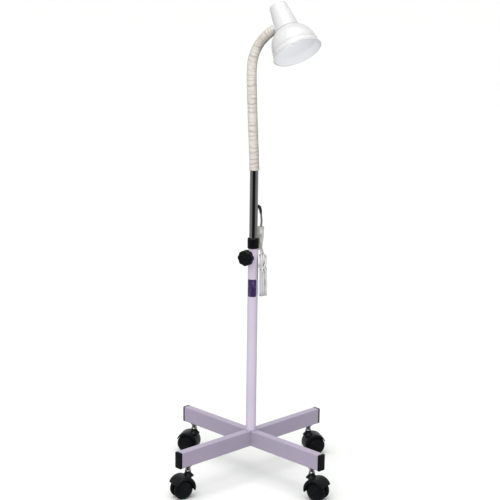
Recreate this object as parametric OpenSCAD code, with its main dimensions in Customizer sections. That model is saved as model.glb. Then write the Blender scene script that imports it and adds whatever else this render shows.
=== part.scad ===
// Examination lamp on a wheeled cross base, with a telescopic post and a flexible neck.
// Millimetres, +Z up. The origin is on the floor, under the axis of the post.
// +X is the side that the neck bends to, and -Y is the front.

/* [Base] */
// Length of each beam of the base cross, over its end caps
base_span = 490; // [440:5:540]
// Width of the base tubes
arm_w = 20; // [20:1:22]
// Height of the base tubes, which stand on edge
arm_h = 40; // [36:1:42]
// Wall of the base tubes
arm_wall = 1.5; // [1.2:0.1:2]
// Height of the top of the base tubes above the floor
base_top = 120; // [116:1:124]

/* [Casters] */
// Diameter of the caster wheels
wheel_d = 49; // [46:1:50]
// Width over both wheels of a caster
caster_w = 43; // [40:1:44]
// Distance from the swivel axis back to the wheel axle
trail = 18; // [17:1:19]
// Angle of the front casters' trail from the line across the lamp
front_trail = 32; // [20:1:40]
// Angle of the rear casters' trail from the line across the lamp
rear_trail = 15; // [5:1:25]
// Distance from the outer end of a base tube to its caster stem
stem_inset = 32; // [30:1:36]

/* [Post] */
// Outer diameter of the lower post
post_d = 25.4; // [25.2:0.1:25.6]
// Height of the open top of the lower post above the floor
post_top = 603; // [601:1:605]
// Outer diameter of the chrome mast
mast_d = 21; // [20.8:0.1:21]
// Height of the foot of the mast above the floor when it is lowered
mast_foot = 180; // [170:5:220]
// Height of the top of the mast above the floor when it is lowered
mast_top = 795; // [793:1:797]

/* [Clamp] */
// Outer diameter of the clamp knob, over its lobes
knob_d = 40; // [38:1:41]
// Height of the clamp knob above the floor
knob_z = 572; // [570:1:573]
// Direction that the clamp knob faces, counted from +X
knob_angle = 244; // [240:1:248]

/* [Neck] */
// Length of one link of the flexible neck
link_len = 36.5; // [36:0.1:37]
// Outer diameter of the links
link_d = 22.4; // [21.6:0.1:22.4]
// Diameter of the ball at the foot of each link
ball_d = 18; // [17.6:0.1:18.2]

/* [Head] */
// Diameter of the shade's opening
shade_d = 120; // [118:1:122]
// Diameter of the shade's dome
dome_d = 110; // [109:1:111]
// Distance from the neck's axis to the plane of the opening
shade_drop = 78; // [77:1:79]
// Angle that the head is turned towards the front about the end of the neck
head_turn = 28.4; // [0:0.1:40]

/* [Lead] */
// Diameter of the mains lead
lead_d = 5; // [4.8:0.1:5]

/* [Hidden] */
$fn = 64;
clearance = 0.05;

// Base
arm_mid = base_top - arm_h / 2;
base_under = base_top - arm_h;
cap_plate = 3;
cap_plug = 14;
arm_end = base_span / 2 - cap_plate;
stem_at = base_span / 2 - stem_inset;
arm_angles = [225, 315, 45, 135];
trail_angles = [180 + front_trail, -front_trail, rear_trail, 180 - rear_trail];

// Casters
wheel_r = wheel_d / 2;
web_t = 8;
wheel_in = web_t / 2 + 0.6;
axle_r = 3;
stem_r = 4;
hood_in_r = wheel_r + 0.6;
hood_mid = [13, 32];
hood_r = 31;
hood_t = 2.5;
hood_foot = 40;
hood_neck_top = 65;
stem_gap = 0.4;

// Post, mast and clamp
post_r = post_d / 2;
post_wall = 1.5;
post_bore_r = post_r - post_wall;
mast_r = mast_d / 2;
mast_wall = 1.2;
mast_bore_r = mast_r - mast_wall;
collar_r = 14.2;
collar_foot = 589;
collar_top = 615;
collar_bore_r = mast_r + 0.1;
label_foot = 468;
label_h = 44;
label_t = 0.3;
label_mid = 260;
label_half = 52;
boss_r = 8;
boss_end = 24;
stud_r = 4;
shoe_start = mast_r + 0.3;
shoe_t = 2.8;
stud_start = shoe_start + shoe_t + 0.1;
knob_start = 27;
knob_t = 22;
stud_end = knob_start + knob_t - 6;

// Neck: how far each link leans from upright, towards +X
neck_foot = [0, 0, mast_top + 7];
link_lean = [-3, -3, -2.5, -2.5, -2, -2, 5, 25, 45.5];
end_lean = 65.6;
links = len(link_lean);
function lean_dir(a) = [sin(a), 0, cos(a)];
function pivot(i) = i == 0 ? neck_foot : pivot(i - 1) + link_len * lean_dir(link_lean[i - 1]);
link_r = link_d / 2;
ball_r = ball_d / 2;
cup_r = ball_r + 0.3;
ball_neck_r = ball_r - 1.6;
shoulder = 6.6;
wire_r = 3;

// Head: local +X is the neck's direction at its end, and local -Z is the way the lamp shines
neck_to_axis = 38.5;
head_at = pivot(links) + neck_to_axis * lean_dir(end_lean);
sheet_t = 1;
shade_r = shade_d / 2;
dome_r = dome_d / 2;
dome_z = 18 - shade_drop;
band_top_r = dome_r + 1.2;
shade_hole_r = 20.2;
housing_foot_r = 29.5;
housing_top_r = 21.5;
housing_foot = -12.7;
housing_top = 55;
housing_t = 1.2;
seat_x = -29.8;
nipple_r = 5;
nipple_in = 6;
bracket_x = -25.2;
bracket_t = 1.4;
bracket_top = 49.5;
holder_r = 19;
holder_foot = -14;
bulb_r = 22.5;
bulb_z = -31;
cap_r = 13.2;

// Lead: the places that its free stretches pass through
lead_r = lead_d / 2;
gland_z = 692;
gland_angle = 25;
upper_route = [
    [10, 4.7, 692], [12.5, 5.9, 691.5], [14.5, 7.2, 689.5], [16, 8.4, 685], [17.2, 9.6, 679],
    [18.3, 11.2, 671],
    [19.2, 13, 662], [19.6, 14.3, 655], [19.3, 15, 648], [18.5, 15.3, 643], [18, 15.3, 639.5]];
lower_route = [
    [18, 15.3, 588.5], [18.1, 14.8, 585], [18.5, 13, 581], [19.3, 10.3, 577], [20, 7.3, 573],
    [20.5, 5.2, 569]];
tail_route = [
    [24, 9, 566], [24, 10, 571], [23.7, 12.2, 576], [22.8, 16, 580.5], [21, 21, 583], [18.2, 26.5, 583],
    [14.2, 31.5, 580.5], [10, 35, 576], [7.2, 36.7, 571], [6, 37, 565], [6, 37, 557]];
switch_at = [18, 15.3, 614];
hank_x = [15.2, 36];
hank_deep = 36;
hank_z = [470, 574];
tie_z = [540, 549];
plug_at = [6, 37, 502];

// ---- Shared shapes ----

// A rectangle with round corners, about the origin
module round_rect(w, h, r) {
    square([w - 2 * r, h], center = true);
    square([w, h - 2 * r], center = true);
    for (x = [-1, 1], y = [-1, 1])
        translate([x * (w / 2 - r), y * (h / 2 - r)]) circle(r);
}

// Children drawn along +Z are laid along the direction at this angle about Z
module along(angle) {
    rotate([0, 0, angle]) rotate([0, 90, 0]) children();
}

// A stretch of base tube, from one distance to another along its arm
module base_tube(angle, from, to) {
    translate([0, 0, arm_mid]) along(angle) translate([0, 0, from])
        linear_extrude(to - from) difference() {
            round_rect(arm_h, arm_w, 2);
            round_rect(arm_h - 2 * arm_wall, arm_w - 2 * arm_wall, 0.8);
        }
}

// Where a caster's stem passes through the underside of its tube
module stem_holes() {
    for (a = arm_angles)
        rotate([0, 0, a]) translate([stem_at, 0, base_under - 1])
            cylinder(r = stem_r + clearance, h = arm_wall + 2);
}

// Puts a caster's own frame, stem on Z and trail along +X, at its place
module at_caster(i) {
    rotate([0, 0, arm_angles[i]]) translate([stem_at, 0, 0])
        rotate([0, 0, trail_angles[i] - arm_angles[i]]) children();
}

// Puts the head's own frame at its place
module at_head() {
    translate(head_at) rotate([-head_turn, end_lean - 90, 0]) children();
}

// A bar that follows a list of points: one ring of sides at each point
function unit(v) = v / norm(v);
function tangent(p, i) = unit(p[min(i + 1, len(p) - 1)] - p[max(i - 1, 0)]);
function side_vec(p, i) = i == 0
    ? unit(cross(tangent(p, 0), [0.2, 1, 0.1]))
    : unit(side_vec(p, i - 1) - (side_vec(p, i - 1) * tangent(p, i)) * tangent(p, i));
function ring_at(p, i, r, n) = [for (k = [0:n - 1])
    p[i] + r * (cos(360 * k / n) * side_vec(p, i)
        + sin(360 * k / n) * cross(tangent(p, i), side_vec(p, i)))];
module swept(p, r, n = 8) {
    rings = len(p);
    points = [for (i = [0:rings - 1]) each ring_at(p, i, r, n)];
    walls = [for (i = [0:rings - 2], k = [0:n - 1])
        [i * n + k, (i + 1) * n + k, (i + 1) * n + (k + 1) % n, i * n + (k + 1) % n]];
    ends = [[for (k = [0:n - 1]) k], [for (k = [n - 1:-1:0]) (rings - 1) * n + k]];
    polyhedron(points, concat(walls, ends), convexity = 6);
}

// ---- Base ----

module base_bar() {
    color("#b9b0c6") difference() {
        base_tube(arm_angles[0], -arm_end, arm_end);
        stem_holes();
    }
}

module base_arm(angle) {
    color("#b9b0c6") difference() {
        base_tube(angle, arm_w / 2, arm_end);
        stem_holes();
    }
}

module end_caps() {
    color("#17191d") for (a = arm_angles)
        translate([0, 0, arm_mid]) along(a) {
            translate([0, 0, arm_end]) linear_extrude(cap_plate) round_rect(arm_h, arm_w, 2);
            translate([0, 0, arm_end - cap_plug]) linear_extrude(cap_plug) difference() {
                round_rect(arm_h - 2 * arm_wall - 0.2, arm_w - 2 * arm_wall - 0.2, 0.8);
                round_rect(arm_h - 2 * arm_wall - 4, arm_w - 2 * arm_wall - 4, 0.8);
            }
        }
}

// ---- Post and clamp ----

module clamp_bore(r) {
    translate([0, 0, knob_z]) along(knob_angle) translate([0, 0, 2]) cylinder(r = r, h = boss_end);
}

module post() {
    color("#d6cce0") difference() {
        union() {
            translate([0, 0, base_top]) cylinder(r = post_r, h = post_top - base_top);
            translate([0, 0, base_top]) cylinder(r1 = post_r + 1.8, r2 = post_r, h = 2.4);
        }
        translate([0, 0, base_top - 1]) cylinder(r = post_bore_r, h = post_top - base_top + 2);
        clamp_bore(stud_r + clearance);
    }
}

module post_label() {
    color("#34254f") rotate([0, 0, label_mid - label_half])
        rotate_extrude(angle = 2 * label_half)
            translate([post_r, label_foot]) square([label_t, label_h]);
}

module mast_collar() {
    skirt_top = post_top + 0.2;
    color("#15171a") translate([0, 0, collar_foot]) difference() {
        rotate_extrude() {
            square([collar_r - 1.5, collar_top - collar_foot]);
            translate([0, 1.5]) square([collar_r, collar_top - collar_foot - 3]);
            translate([collar_r - 1.5, 1.5]) circle(1.5);
            translate([collar_r - 1.5, collar_top - collar_foot - 1.5]) circle(1.5);
        }
        translate([0, 0, -1]) cylinder(r = collar_bore_r, h = collar_top - collar_foot + 2);
        translate([0, 0, -1]) cylinder(r = post_r + clearance, h = skirt_top - collar_foot + 1);
    }
}

module clamp_boss() {
    color("#d6cce0") difference() {
        translate([0, 0, knob_z]) along(knob_angle) cylinder(r = boss_r, h = boss_end);
        translate([0, 0, knob_z - boss_r - 1]) cylinder(r = post_r, h = 2 * boss_r + 2);
        clamp_bore(stud_r + clearance);
    }
}

module clamp_shoe() {
    color("#c9a24a") translate([0, 0, knob_z]) along(knob_angle)
        translate([0, 0, shoe_start]) cylinder(r = stud_r - 0.3, h = shoe_t);
}

module clamp_stud() {
    color("#b8babd") translate([0, 0, knob_z]) along(knob_angle)
        translate([0, 0, stud_start]) cylinder(r = stud_r, h = stud_end - stud_start);
}

module clamp_knob() {
    lobes = 8;
    lobe_r = 8.2;
    hub_r = 11;
    color("#141518") translate([0, 0, knob_z]) along(knob_angle) difference() {
        translate([0, 0, knob_start]) union() {
            cylinder(r = hub_r, h = knob_t);
            translate([0, 0, 5]) linear_extrude(knob_t - 6.5) {
                circle(knob_d / 2 - 1.6);
                for (i = [0:lobes - 1])
                    rotate(360 * i / lobes) translate([knob_d / 2 - lobe_r, 0]) circle(lobe_r);
            }
            translate([0, 0, knob_t - 1.5]) cylinder(r1 = knob_d / 2 - 3.4, r2 = knob_d / 2 - 5.2, h = 1.5);
        }
        translate([0, 0, knob_start - 1]) cylinder(r = stud_r, h = stud_end - knob_start + 1);
    }
}

// ---- Casters ----

module caster_stems() {
    color("#b8b9bd") for (i = [0:3]) at_caster(i) {
        translate([0, 0, hood_neck_top + stem_gap])
            cylinder(r = 6.5, h = base_under - hood_neck_top - stem_gap);
        translate([0, 0, 42]) cylinder(r = stem_r, h = 56);
    }
}

module caster_nuts() {
    color("#a9abb0") for (i = [0:3]) at_caster(i)
        translate([0, 0, base_under + arm_wall]) difference() {
            cylinder(d = 15, h = 6.5, $fn = 6);
            translate([0, 0, -1]) cylinder(r = stem_r, h = 9);
        }
}

// A drum along Y round the hood's middle, with its rims cut off at a slant
module hood_drum(r, w) {
    rim = 2.5;
    translate([hood_mid[0], 0, hood_mid[1]]) rotate([90, 0, 0]) rotate_extrude()
        polygon([[0, -w / 2], [r - rim, -w / 2], [r, rim - w / 2],
                 [r, w / 2 - rim], [r - rim, w / 2], [0, w / 2]]);
}

module caster_hood(i) {
    socket_foot = 38;
    socket_r = 9;
    neck_r = 7.6;
    shell_w = 2 * (hood_r + hood_mid[0]);
    color("#131418") at_caster(i) difference() {
        union() {
            // Socket for the stem, and its slimmer neck
            translate([0, 0, socket_foot]) cylinder(r = socket_r, h = 24);
            translate([0, 0, 50]) cylinder(r = neck_r, h = hood_neck_top - 50);
            // Web between the wheels, out to the axle
            translate([0, -web_t / 2, socket_foot]) cube([trail, web_t, 13]);
            translate([trail - 8, -web_t / 2, wheel_r]) cube([16, web_t, 24]);
            translate([trail, 0, wheel_r]) rotate([90, 0, 0])
                cylinder(r = 8, h = web_t, center = true);
            // Thin hood over the top of both wheels
            intersection() {
                difference() {
                    hood_drum(hood_r, caster_w);
                    hood_drum(hood_r - hood_t, caster_w - 2 * hood_t);
                }
                translate([-shell_w / 2, -caster_w / 2 - 1, hood_foot])
                    cube([2 * shell_w, caster_w + 2, shell_w]);
            }
        }
        // Room for the two wheels under the hood
        for (s = [-1, 1])
            translate([trail, s * (wheel_in - 0.6 + 20), wheel_r]) rotate([90, 0, 0])
                cylinder(r = hood_in_r, h = 40, center = true);
        translate([0, 0, 41.5]) cylinder(r = stem_r + clearance, h = 30);
        translate([trail, 0, wheel_r]) rotate([90, 0, 0])
            cylinder(r = axle_r + clearance, h = 40, center = true);
    }
}

module caster_axle(i) {
    color("#a9abb0") at_caster(i) translate([trail, 0, wheel_r]) rotate([90, 0, 0])
        cylinder(r = axle_r, h = caster_w - 7, center = true);
}

// One wheel, its inner face at z = 0 and its domed outer face at z = t
module caster_wheel(t) {
    tread = 12.5;
    dome = 44;
    difference() {
        union() {
            cylinder(r = wheel_r, h = tread);
            intersection() {
                cylinder(r = wheel_r, h = t);
                translate([0, 0, t - dome]) sphere(dome);
                cylinder(r1 = wheel_r + 6, r2 = wheel_r - 4, h = t);
            }
        }
        // Hollow towards the web, round the hub
        translate([0, 0, -1]) difference() {
            cylinder(r = wheel_r - 4, h = 9);
            translate([0, 0, -1]) cylinder(r = 6.5, h = 12);
        }
        translate([0, 0, -1]) cylinder(r = axle_r, h = caster_w / 2 - wheel_in - 2.5);
    }
}

module caster_wheels(i) {
    color("#17181b") at_caster(i) translate([trail, 0, wheel_r])
        for (s = [-1, 1])
            rotate([s * 90, 0, 0]) translate([0, 0, wheel_in]) caster_wheel(caster_w / 2 - wheel_in);
}

// ---- Mast ----

module mast_guide() {
    flange = 12;
    color("#d8d8d4") difference() {
        union() {
            translate([0, 0, mast_foot - 0.3 - flange]) cylinder(r = post_bore_r - 0.1, h = flange);
            translate([0, 0, mast_foot - 1]) cylinder(r = mast_bore_r - 0.1, h = 16);
        }
        translate([0, 0, mast_foot - flange - 2]) cylinder(r = 5, h = 40);
    }
}

module gland_bore(r) {
    translate([0, 0, gland_z]) along(gland_angle) cylinder(r = r, h = mast_r + 4);
}

module mast_tube() {
    color("#c9cacd") difference() {
        translate([0, 0, mast_foot]) cylinder(r = mast_r, h = mast_top - mast_foot);
        translate([0, 0, mast_foot - 1]) cylinder(r = mast_bore_r, h = mast_top - mast_foot + 2);
        gland_bore(4);
    }
}

module cord_grommet() {
    color("#3a3a3c") difference() {
        union() {
            translate([0, 0, gland_z]) along(gland_angle) translate([0, 0, mast_bore_r - 1.4])
                cylinder(r = 4, h = mast_wall + 2);
            difference() {
                translate([0, 0, gland_z]) along(gland_angle) cylinder(r = 5.4, h = mast_r + 1.3);
                translate([0, 0, gland_z - 7]) cylinder(r = mast_r, h = 14);
            }
        }
        gland_bore(lead_r + 0.1);
    }
}

module neck_socket() {
    foot = mast_top - 22;
    color("#c4bfb4") difference() {
        union() {
            translate([0, 0, foot]) cylinder(r = mast_bore_r, h = 22);
            translate([0, 0, mast_top]) cylinder(r = link_r, h = 7);
        }
        translate(neck_foot) sphere(cup_r);
        translate([0, 0, foot - 1]) cylinder(r = wire_r, h = 40);
    }
}

// ---- Neck ----

// A ball at the foot, a cup at the top, and a way for the wires right through
module neck_link(i) {
    color("#e6dfd0") translate(pivot(i)) rotate([0, link_lean[i], 0]) difference() {
        union() {
            sphere(ball_r);
            cylinder(r = ball_neck_r, h = shoulder + 1);
            translate([0, 0, shoulder]) cylinder(r = link_r, h = link_len - shoulder);
        }
        translate([0, 0, link_len]) sphere(cup_r);
        translate([0, 0, -ball_r - 1]) cylinder(r = wire_r, h = link_len + ball_r + 2);
    }
}

module neck_end_fitting() {
    face = neck_to_axis + seat_x - 0.3;
    color("#e6dfd0") translate(pivot(links)) rotate([0, end_lean, 0]) difference() {
        union() {
            intersection() {
                sphere(ball_r);
                translate([0, 0, -ball_r - 1]) cylinder(r = ball_r + 1, h = ball_r + 1 + face);
            }
            cylinder(r = ball_neck_r, h = face);
            translate([0, 0, shoulder]) cylinder(r = link_r, h = face - shoulder);
        }
        translate([0, 0, neck_to_axis + seat_x - nipple_in]) cylinder(r = nipple_r, h = 10);
        translate([0, 0, -ball_r - 1]) cylinder(r = wire_r, h = face + ball_r + 2);
    }
}

module head_nipple() {
    start = seat_x - nipple_in;
    end = bracket_x + 5.8;
    color("#b8babd") at_head() rotate([0, 90, 0]) translate([0, 0, start]) difference() {
        cylinder(r = nipple_r, h = end - start);
        translate([0, 0, -1]) cylinder(r = wire_r, h = end - start + 2);
    }
}

module head_locknut() {
    color("#b8babd") at_head() rotate([0, 90, 0]) translate([0, 0, bracket_x + bracket_t + 0.6]) difference() {
        cylinder(d = 15, h = 3.4, $fn = 6);
        translate([0, 0, -1]) cylinder(r = nipple_r, h = 6);
    }
}

// ---- Head ----

module nipple_hole() {
    rotate([0, 90, 0]) translate([0, 0, seat_x - 3]) cylinder(r = nipple_r + clearance, h = 14);
}

module socket_housing() {
    edge = 4;
    straight = housing_top - edge - housing_foot;
    color("#f2f1ee") at_head() difference() {
        union() {
            translate([0, 0, housing_foot])
                cylinder(r1 = housing_foot_r, r2 = housing_top_r, h = straight);
            translate([0, 0, housing_top - edge]) {
                cylinder(r = housing_top_r - edge, h = edge);
                rotate_extrude() intersection() {
                    translate([housing_top_r - edge, 0]) circle(edge);
                    square([housing_top_r + 1, edge + 1]);
                }
            }
            // Flat seat for the end of the neck
            intersection() {
                rotate([0, 90, 0]) translate([0, 0, seat_x]) cylinder(r = 11.4, h = 6);
                translate([-40, -15, housing_foot]) cube([40, 30, 40]);
            }
        }
        translate([0, 0, housing_foot])
            cylinder(r1 = housing_foot_r - housing_t, r2 = housing_top_r - housing_t, h = straight);
        translate([0, 0, housing_foot - 1]) cylinder(r = housing_foot_r - housing_t, h = 1.01);
        translate([0, 0, housing_top - edge - 1])
            cylinder(r = housing_top_r - edge, h = edge + 1 - housing_t);
        nipple_hole();
    }
}

module holder_bracket() {
    color("#b8babd") at_head() difference() {
        union() {
            translate([bracket_x, -7, -7]) cube([bracket_t, 14, 14]);
            translate([bracket_x, -5, 6.5]) rotate([0, 8.5, 0]) cube([bracket_t, 10, 44.6]);
            translate([-18.6, -6.5, bracket_top]) cube([26, 13, bracket_t]);
        }
        nipple_hole();
        translate([0, 0, bracket_top - 1]) cylinder(r = 5, h = 4);
    }
}

module holder_nut() {
    color("#b8babd") at_head() translate([0, 0, bracket_top + bracket_t]) difference() {
        cylinder(d = 14, h = 2, $fn = 6);
        translate([0, 0, -1]) cylinder(r = 5, h = 4);
    }
}

module lampholder() {
    color("#efece4") at_head() difference() {
        union() {
            translate([0, 0, holder_foot]) cylinder(r = holder_r, h = 48);
            translate([0, 0, holder_foot + 48])
                cylinder(r1 = holder_r - 2, r2 = 9, h = bracket_top - 48 - holder_foot);
            translate([0, 0, bracket_top - 2]) cylinder(r = 5, h = bracket_t + 4);
        }
        translate([0, 0, holder_foot - 1]) cylinder(r = 17, h = 20);
        translate([0, 0, holder_foot]) cylinder(r = 14.6, h = 45);
        translate([0, 0, 20]) cylinder(r = wire_r, h = 60);
    }
}

module lamp_contacts() {
    color("#c9a24a") at_head() {
        translate([0, 0, bulb_z + 31]) difference() {
            cylinder(r = 14.5, h = 23);
            translate([0, 0, -1]) cylinder(r = 13.5, h = 25);
        }
        translate([0, 0, bulb_z + 56.4]) difference() {
            cylinder(r = 6, h = 0.7);
            translate([0, 0, -1]) cylinder(r = 0.8, h = 3);
        }
    }
}

module shade_ring() {
    top = dome_z + sqrt(pow(dome_r - sheet_t, 2) - 24 * 24) - 0.1;
    color("#efece4") at_head() difference() {
        translate([0, 0, top - 4]) cylinder(r = 24, h = 4);
        translate([0, 0, top - 5]) cylinder(r = holder_r, h = 6);
    }
}

module shade() {
    lip_r = 1;
    band_foot = -shade_drop + lip_r;
    band_head = dome_z + 0.4;
    color("#f5f5f3") at_head() {
        difference() {
            union() {
                // Dome
                intersection() {
                    translate([0, 0, dome_z]) sphere(dome_r);
                    translate([0, 0, dome_z]) cylinder(r = dome_r + 1, h = dome_r + 1);
                }
                // Flared band, with a raised step where the dome meets it
                translate([0, 0, band_foot])
                    cylinder(r1 = shade_r, r2 = band_top_r, h = band_head - band_foot);
            }
            translate([0, 0, dome_z]) sphere(dome_r - sheet_t);
            translate([0, 0, band_foot - 0.01])
                cylinder(r1 = shade_r - sheet_t, r2 = dome_r - sheet_t, h = dome_z - band_foot + 0.01);
            cylinder(r = shade_hole_r, h = 2 * dome_r, center = true);
        }
        // Rolled lip
        translate([0, 0, band_foot]) rotate_extrude() translate([shade_r - lip_r / 2, 0]) circle(lip_r);
    }
}

module bulb_glass() {
    neck_r = 12.6;
    glass_t = 0.8;
    color("#f7f7f2") at_head() difference() {
        union() {
            translate([0, 0, bulb_z]) sphere(bulb_r);
            translate([0, 0, bulb_z + 14]) cylinder(r1 = 17.6, r2 = neck_r, h = 12);
            translate([0, 0, bulb_z + 25]) cylinder(r = neck_r, h = 4);
        }
        translate([0, 0, bulb_z]) sphere(bulb_r - glass_t);
        translate([0, 0, bulb_z + 14]) cylinder(r1 = 16.4, r2 = neck_r - glass_t, h = 12);
        translate([0, 0, bulb_z + 25]) cylinder(r = neck_r - glass_t, h = 5);
    }
}

module bulb_cap() {
    color("#c2c4c6") at_head() {
        translate([0, 0, bulb_z + 29]) cylinder(r = cap_r, h = 22);
        translate([0, 0, bulb_z + 51]) cylinder(r1 = cap_r - 2, r2 = 4.5, h = 5);
    }
}

// ---- Lead ----

module cord_upper() {
    color("#cfccc8") swept(upper_route, lead_r);
}

module cord_lower() {
    color("#cfccc8") swept(lower_route, lead_r);
}

module cord_tail() {
    color("#cfccc8") swept(tail_route, lead_r);
}

// Half of the switch's body, split on the plane y = 0: side is -1 for the front, 1 for the back
module switch_half(side) {
    half_w = 7.5;
    deep = 5.5;
    foot_half_w = 3.4;
    corner = 4;
    foot = -26;
    waist = 2;
    head = 26;
    rotate([90, 0, 0]) translate([0, 0, side > 0 ? -deep : 0.05]) linear_extrude(deep - 0.05) {
        polygon([
            [-foot_half_w, foot], [foot_half_w, foot], [half_w, waist], [half_w, head - corner],
            [half_w - corner, head - corner], [half_w - corner, head],
            [corner - half_w, head], [corner - half_w, head - corner],
            [-half_w, head - corner], [-half_w, waist]]);
        for (x = [-1, 1])
            translate([x * (half_w - corner), head - corner]) circle(corner);
    }
}

// The rocker's well, in the front face of the switch
module rocker_well() {
    translate([-3.6, -10, 6]) cube([7.2, 8.4, 14]);
}

module lead_ways() {
    translate([0, 0, 15]) cylinder(r = lead_r, h = 20);
    translate([0, 0, -30]) cylinder(r = lead_r, h = 20);
}

module switch_base() {
    color("#d6d2c6") translate(switch_at) difference() {
        switch_half(1);
        lead_ways();
    }
}

module switch_cover() {
    color("#d6d2c6") translate(switch_at) difference() {
        switch_half(-1);
        rocker_well();
        lead_ways();
    }
}

module switch_rocker() {
    color("#ece9df") translate(switch_at) intersection() {
        translate([0, -4.1, 13]) rotate([0, 90, 0]) cylinder(r = 6.2, h = 6.4, center = true);
        translate([-5, -7.1, 0]) cube([10, 4.1, 26]);
    }
}

module cord_hank() {
    round_r = hank_deep / 2;
    tall = hank_z[1] - hank_z[0];
    color("#d4d2cf") translate([hank_x[0], 0, hank_z[0]]) rotate([90, 0, 90])
        linear_extrude(hank_x[1] - hank_x[0]) {
            translate([-round_r, round_r]) square([hank_deep, tall - hank_deep]);
            translate([0, round_r]) circle(round_r);
            translate([0, tall - round_r]) circle(round_r);
        }
}

module cord_tie() {
    t = 0.6;
    mid_x = (hank_x[0] + hank_x[1]) / 2;
    wide = hank_x[1] - hank_x[0];
    color("#f0f0ee") translate([mid_x, 0, tie_z[0]]) linear_extrude(tie_z[1] - tie_z[0]) difference() {
        square([wide + 2 * t, hank_deep + 2 * t], center = true);
        square([wide, hank_deep], center = true);
    }
}

module plug_body() {
    body_h = 34;
    color("#d9d6cf") translate(plug_at) union() {
        translate([-7, -17.5, 0]) cube([14, 35, 12]);
        translate([-7, -13, 12]) cube([14, 26, 12]);
        translate([0, 0, 24]) rotate([0, 90, 0]) cylinder(r = 10, h = 12, center = true);
        translate([0, 0, body_h - 4]) cylinder(r1 = 5.2, r2 = 3.6, h = 24);
    }
}

module plug_pins() {
    color("#c6c7c9") translate(plug_at) for (s = [-1, 1])
        translate([0, s * 9.3, -19]) cylinder(r = 2, h = 19);
}

base_bar();
base_arm(arm_angles[3]);  // base_arm_left
base_arm(arm_angles[1]);  // base_arm_right
end_caps();
post();
post_label();
mast_collar();
clamp_boss();
clamp_shoe();
clamp_stud();
clamp_knob();
caster_stems();
caster_nuts();
mast_guide();
mast_tube();
cord_grommet();
neck_socket();
neck_link(0);  // neck_link_1
neck_link(1);  // neck_link_2
neck_link(2);  // neck_link_3
neck_link(3);  // neck_link_4
neck_link(4);  // neck_link_5
neck_link(5);  // neck_link_6
neck_link(6);  // neck_link_7
neck_link(7);  // neck_link_8
neck_link(8);  // neck_link_9
neck_end_fitting();
head_nipple();
head_locknut();
socket_housing();
holder_bracket();
holder_nut();
lampholder();
lamp_contacts();
shade_ring();
shade();
bulb_glass();
bulb_cap();
caster_hood(0);  // caster_hood_fl
caster_hood(1);  // caster_hood_fr
caster_hood(2);  // caster_hood_br
caster_hood(3);  // caster_hood_bl
caster_axle(0);  // caster_axle_fl
caster_axle(1);  // caster_axle_fr
caster_axle(2);  // caster_axle_br
caster_axle(3);  // caster_axle_bl
caster_wheels(0);  // caster_wheels_fl
caster_wheels(1);  // caster_wheels_fr
caster_wheels(2);  // caster_wheels_br
caster_wheels(3);  // caster_wheels_bl
cord_upper();
switch_base();
switch_cover();
switch_rocker();
cord_lower();
cord_hank();
cord_tie();
cord_tail();
plug_body();
plug_pins();
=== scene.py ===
import math
import random

import bmesh
import bpy
import numpy as np
from mathutils import Matrix, Vector


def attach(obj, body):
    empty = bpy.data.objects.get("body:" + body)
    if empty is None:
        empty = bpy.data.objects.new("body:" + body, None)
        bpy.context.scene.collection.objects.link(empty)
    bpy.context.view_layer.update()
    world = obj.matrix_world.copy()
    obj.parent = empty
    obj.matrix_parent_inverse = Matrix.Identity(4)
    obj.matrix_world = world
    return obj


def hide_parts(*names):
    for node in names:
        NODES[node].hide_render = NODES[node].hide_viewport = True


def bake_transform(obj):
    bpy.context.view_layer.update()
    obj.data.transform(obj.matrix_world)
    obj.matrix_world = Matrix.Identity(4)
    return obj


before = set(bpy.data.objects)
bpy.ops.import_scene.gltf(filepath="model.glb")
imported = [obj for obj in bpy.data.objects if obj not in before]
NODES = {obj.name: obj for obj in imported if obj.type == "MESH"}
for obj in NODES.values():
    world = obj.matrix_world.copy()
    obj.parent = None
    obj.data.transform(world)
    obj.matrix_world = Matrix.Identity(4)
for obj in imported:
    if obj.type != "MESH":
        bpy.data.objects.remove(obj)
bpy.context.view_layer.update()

MM = 0.001
CASTERS = ("fl", "fr", "br", "bl")
scene = bpy.context.scene
scene.view_settings.view_transform = "Standard"


# ---------------------------------------------------------------- camera and stage

def deg(a):
    return math.radians(a)


def new_object(name, data):
    obj = bpy.data.objects.new(name, data)
    scene.collection.objects.link(obj)
    return obj


UPRIGHT = Matrix.Rotation(deg(90), 4, "X")
CAMERA_AT = (0.022, -3.305, 1.321)
CAMERA_TURN, CAMERA_DOWN, CAMERA_ROLL = 0.516, 12.57, 0.72
camera_data = bpy.data.cameras.new("camera")
camera_data.sensor_width = 36.0
camera_data.lens = 99.3
camera = new_object("camera", camera_data)
camera.matrix_world = (
    Matrix.Translation(CAMERA_AT)
    @ Matrix.Rotation(deg(CAMERA_TURN), 4, "Z")
    @ Matrix.Rotation(deg(90 - CAMERA_DOWN), 4, "X")
    @ Matrix.Rotation(deg(CAMERA_ROLL), 4, "Z")
)
scene.camera = camera


def smooth_shaded(data, sharp=None):
    """Smooth shading, broken at edges of more than this many degrees."""
    data.polygons.foreach_set("use_smooth", [True] * len(data.polygons))
    if sharp:
        data.set_sharp_from_angle(angle=deg(sharp))


def link_mesh(name, verts, faces, smooth=True):
    data = bpy.data.meshes.new(name)
    data.from_pydata([tuple(v) for v in verts], [], faces)
    data.update()
    if smooth:
        smooth_shaded(data)
    return new_object(name, data)


def face_outwards(data, merge=None):
    """Turns every face outwards, after merging corners closer than merge."""
    bm = bmesh.new()
    bm.from_mesh(data)
    if merge:
        bmesh.ops.remove_doubles(bm, verts=bm.verts, dist=merge)
    bmesh.ops.recalc_face_normals(bm, faces=bm.faces)
    bm.to_mesh(data)
    bm.free()


# ---------------------------------------------------------------- materials

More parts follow.
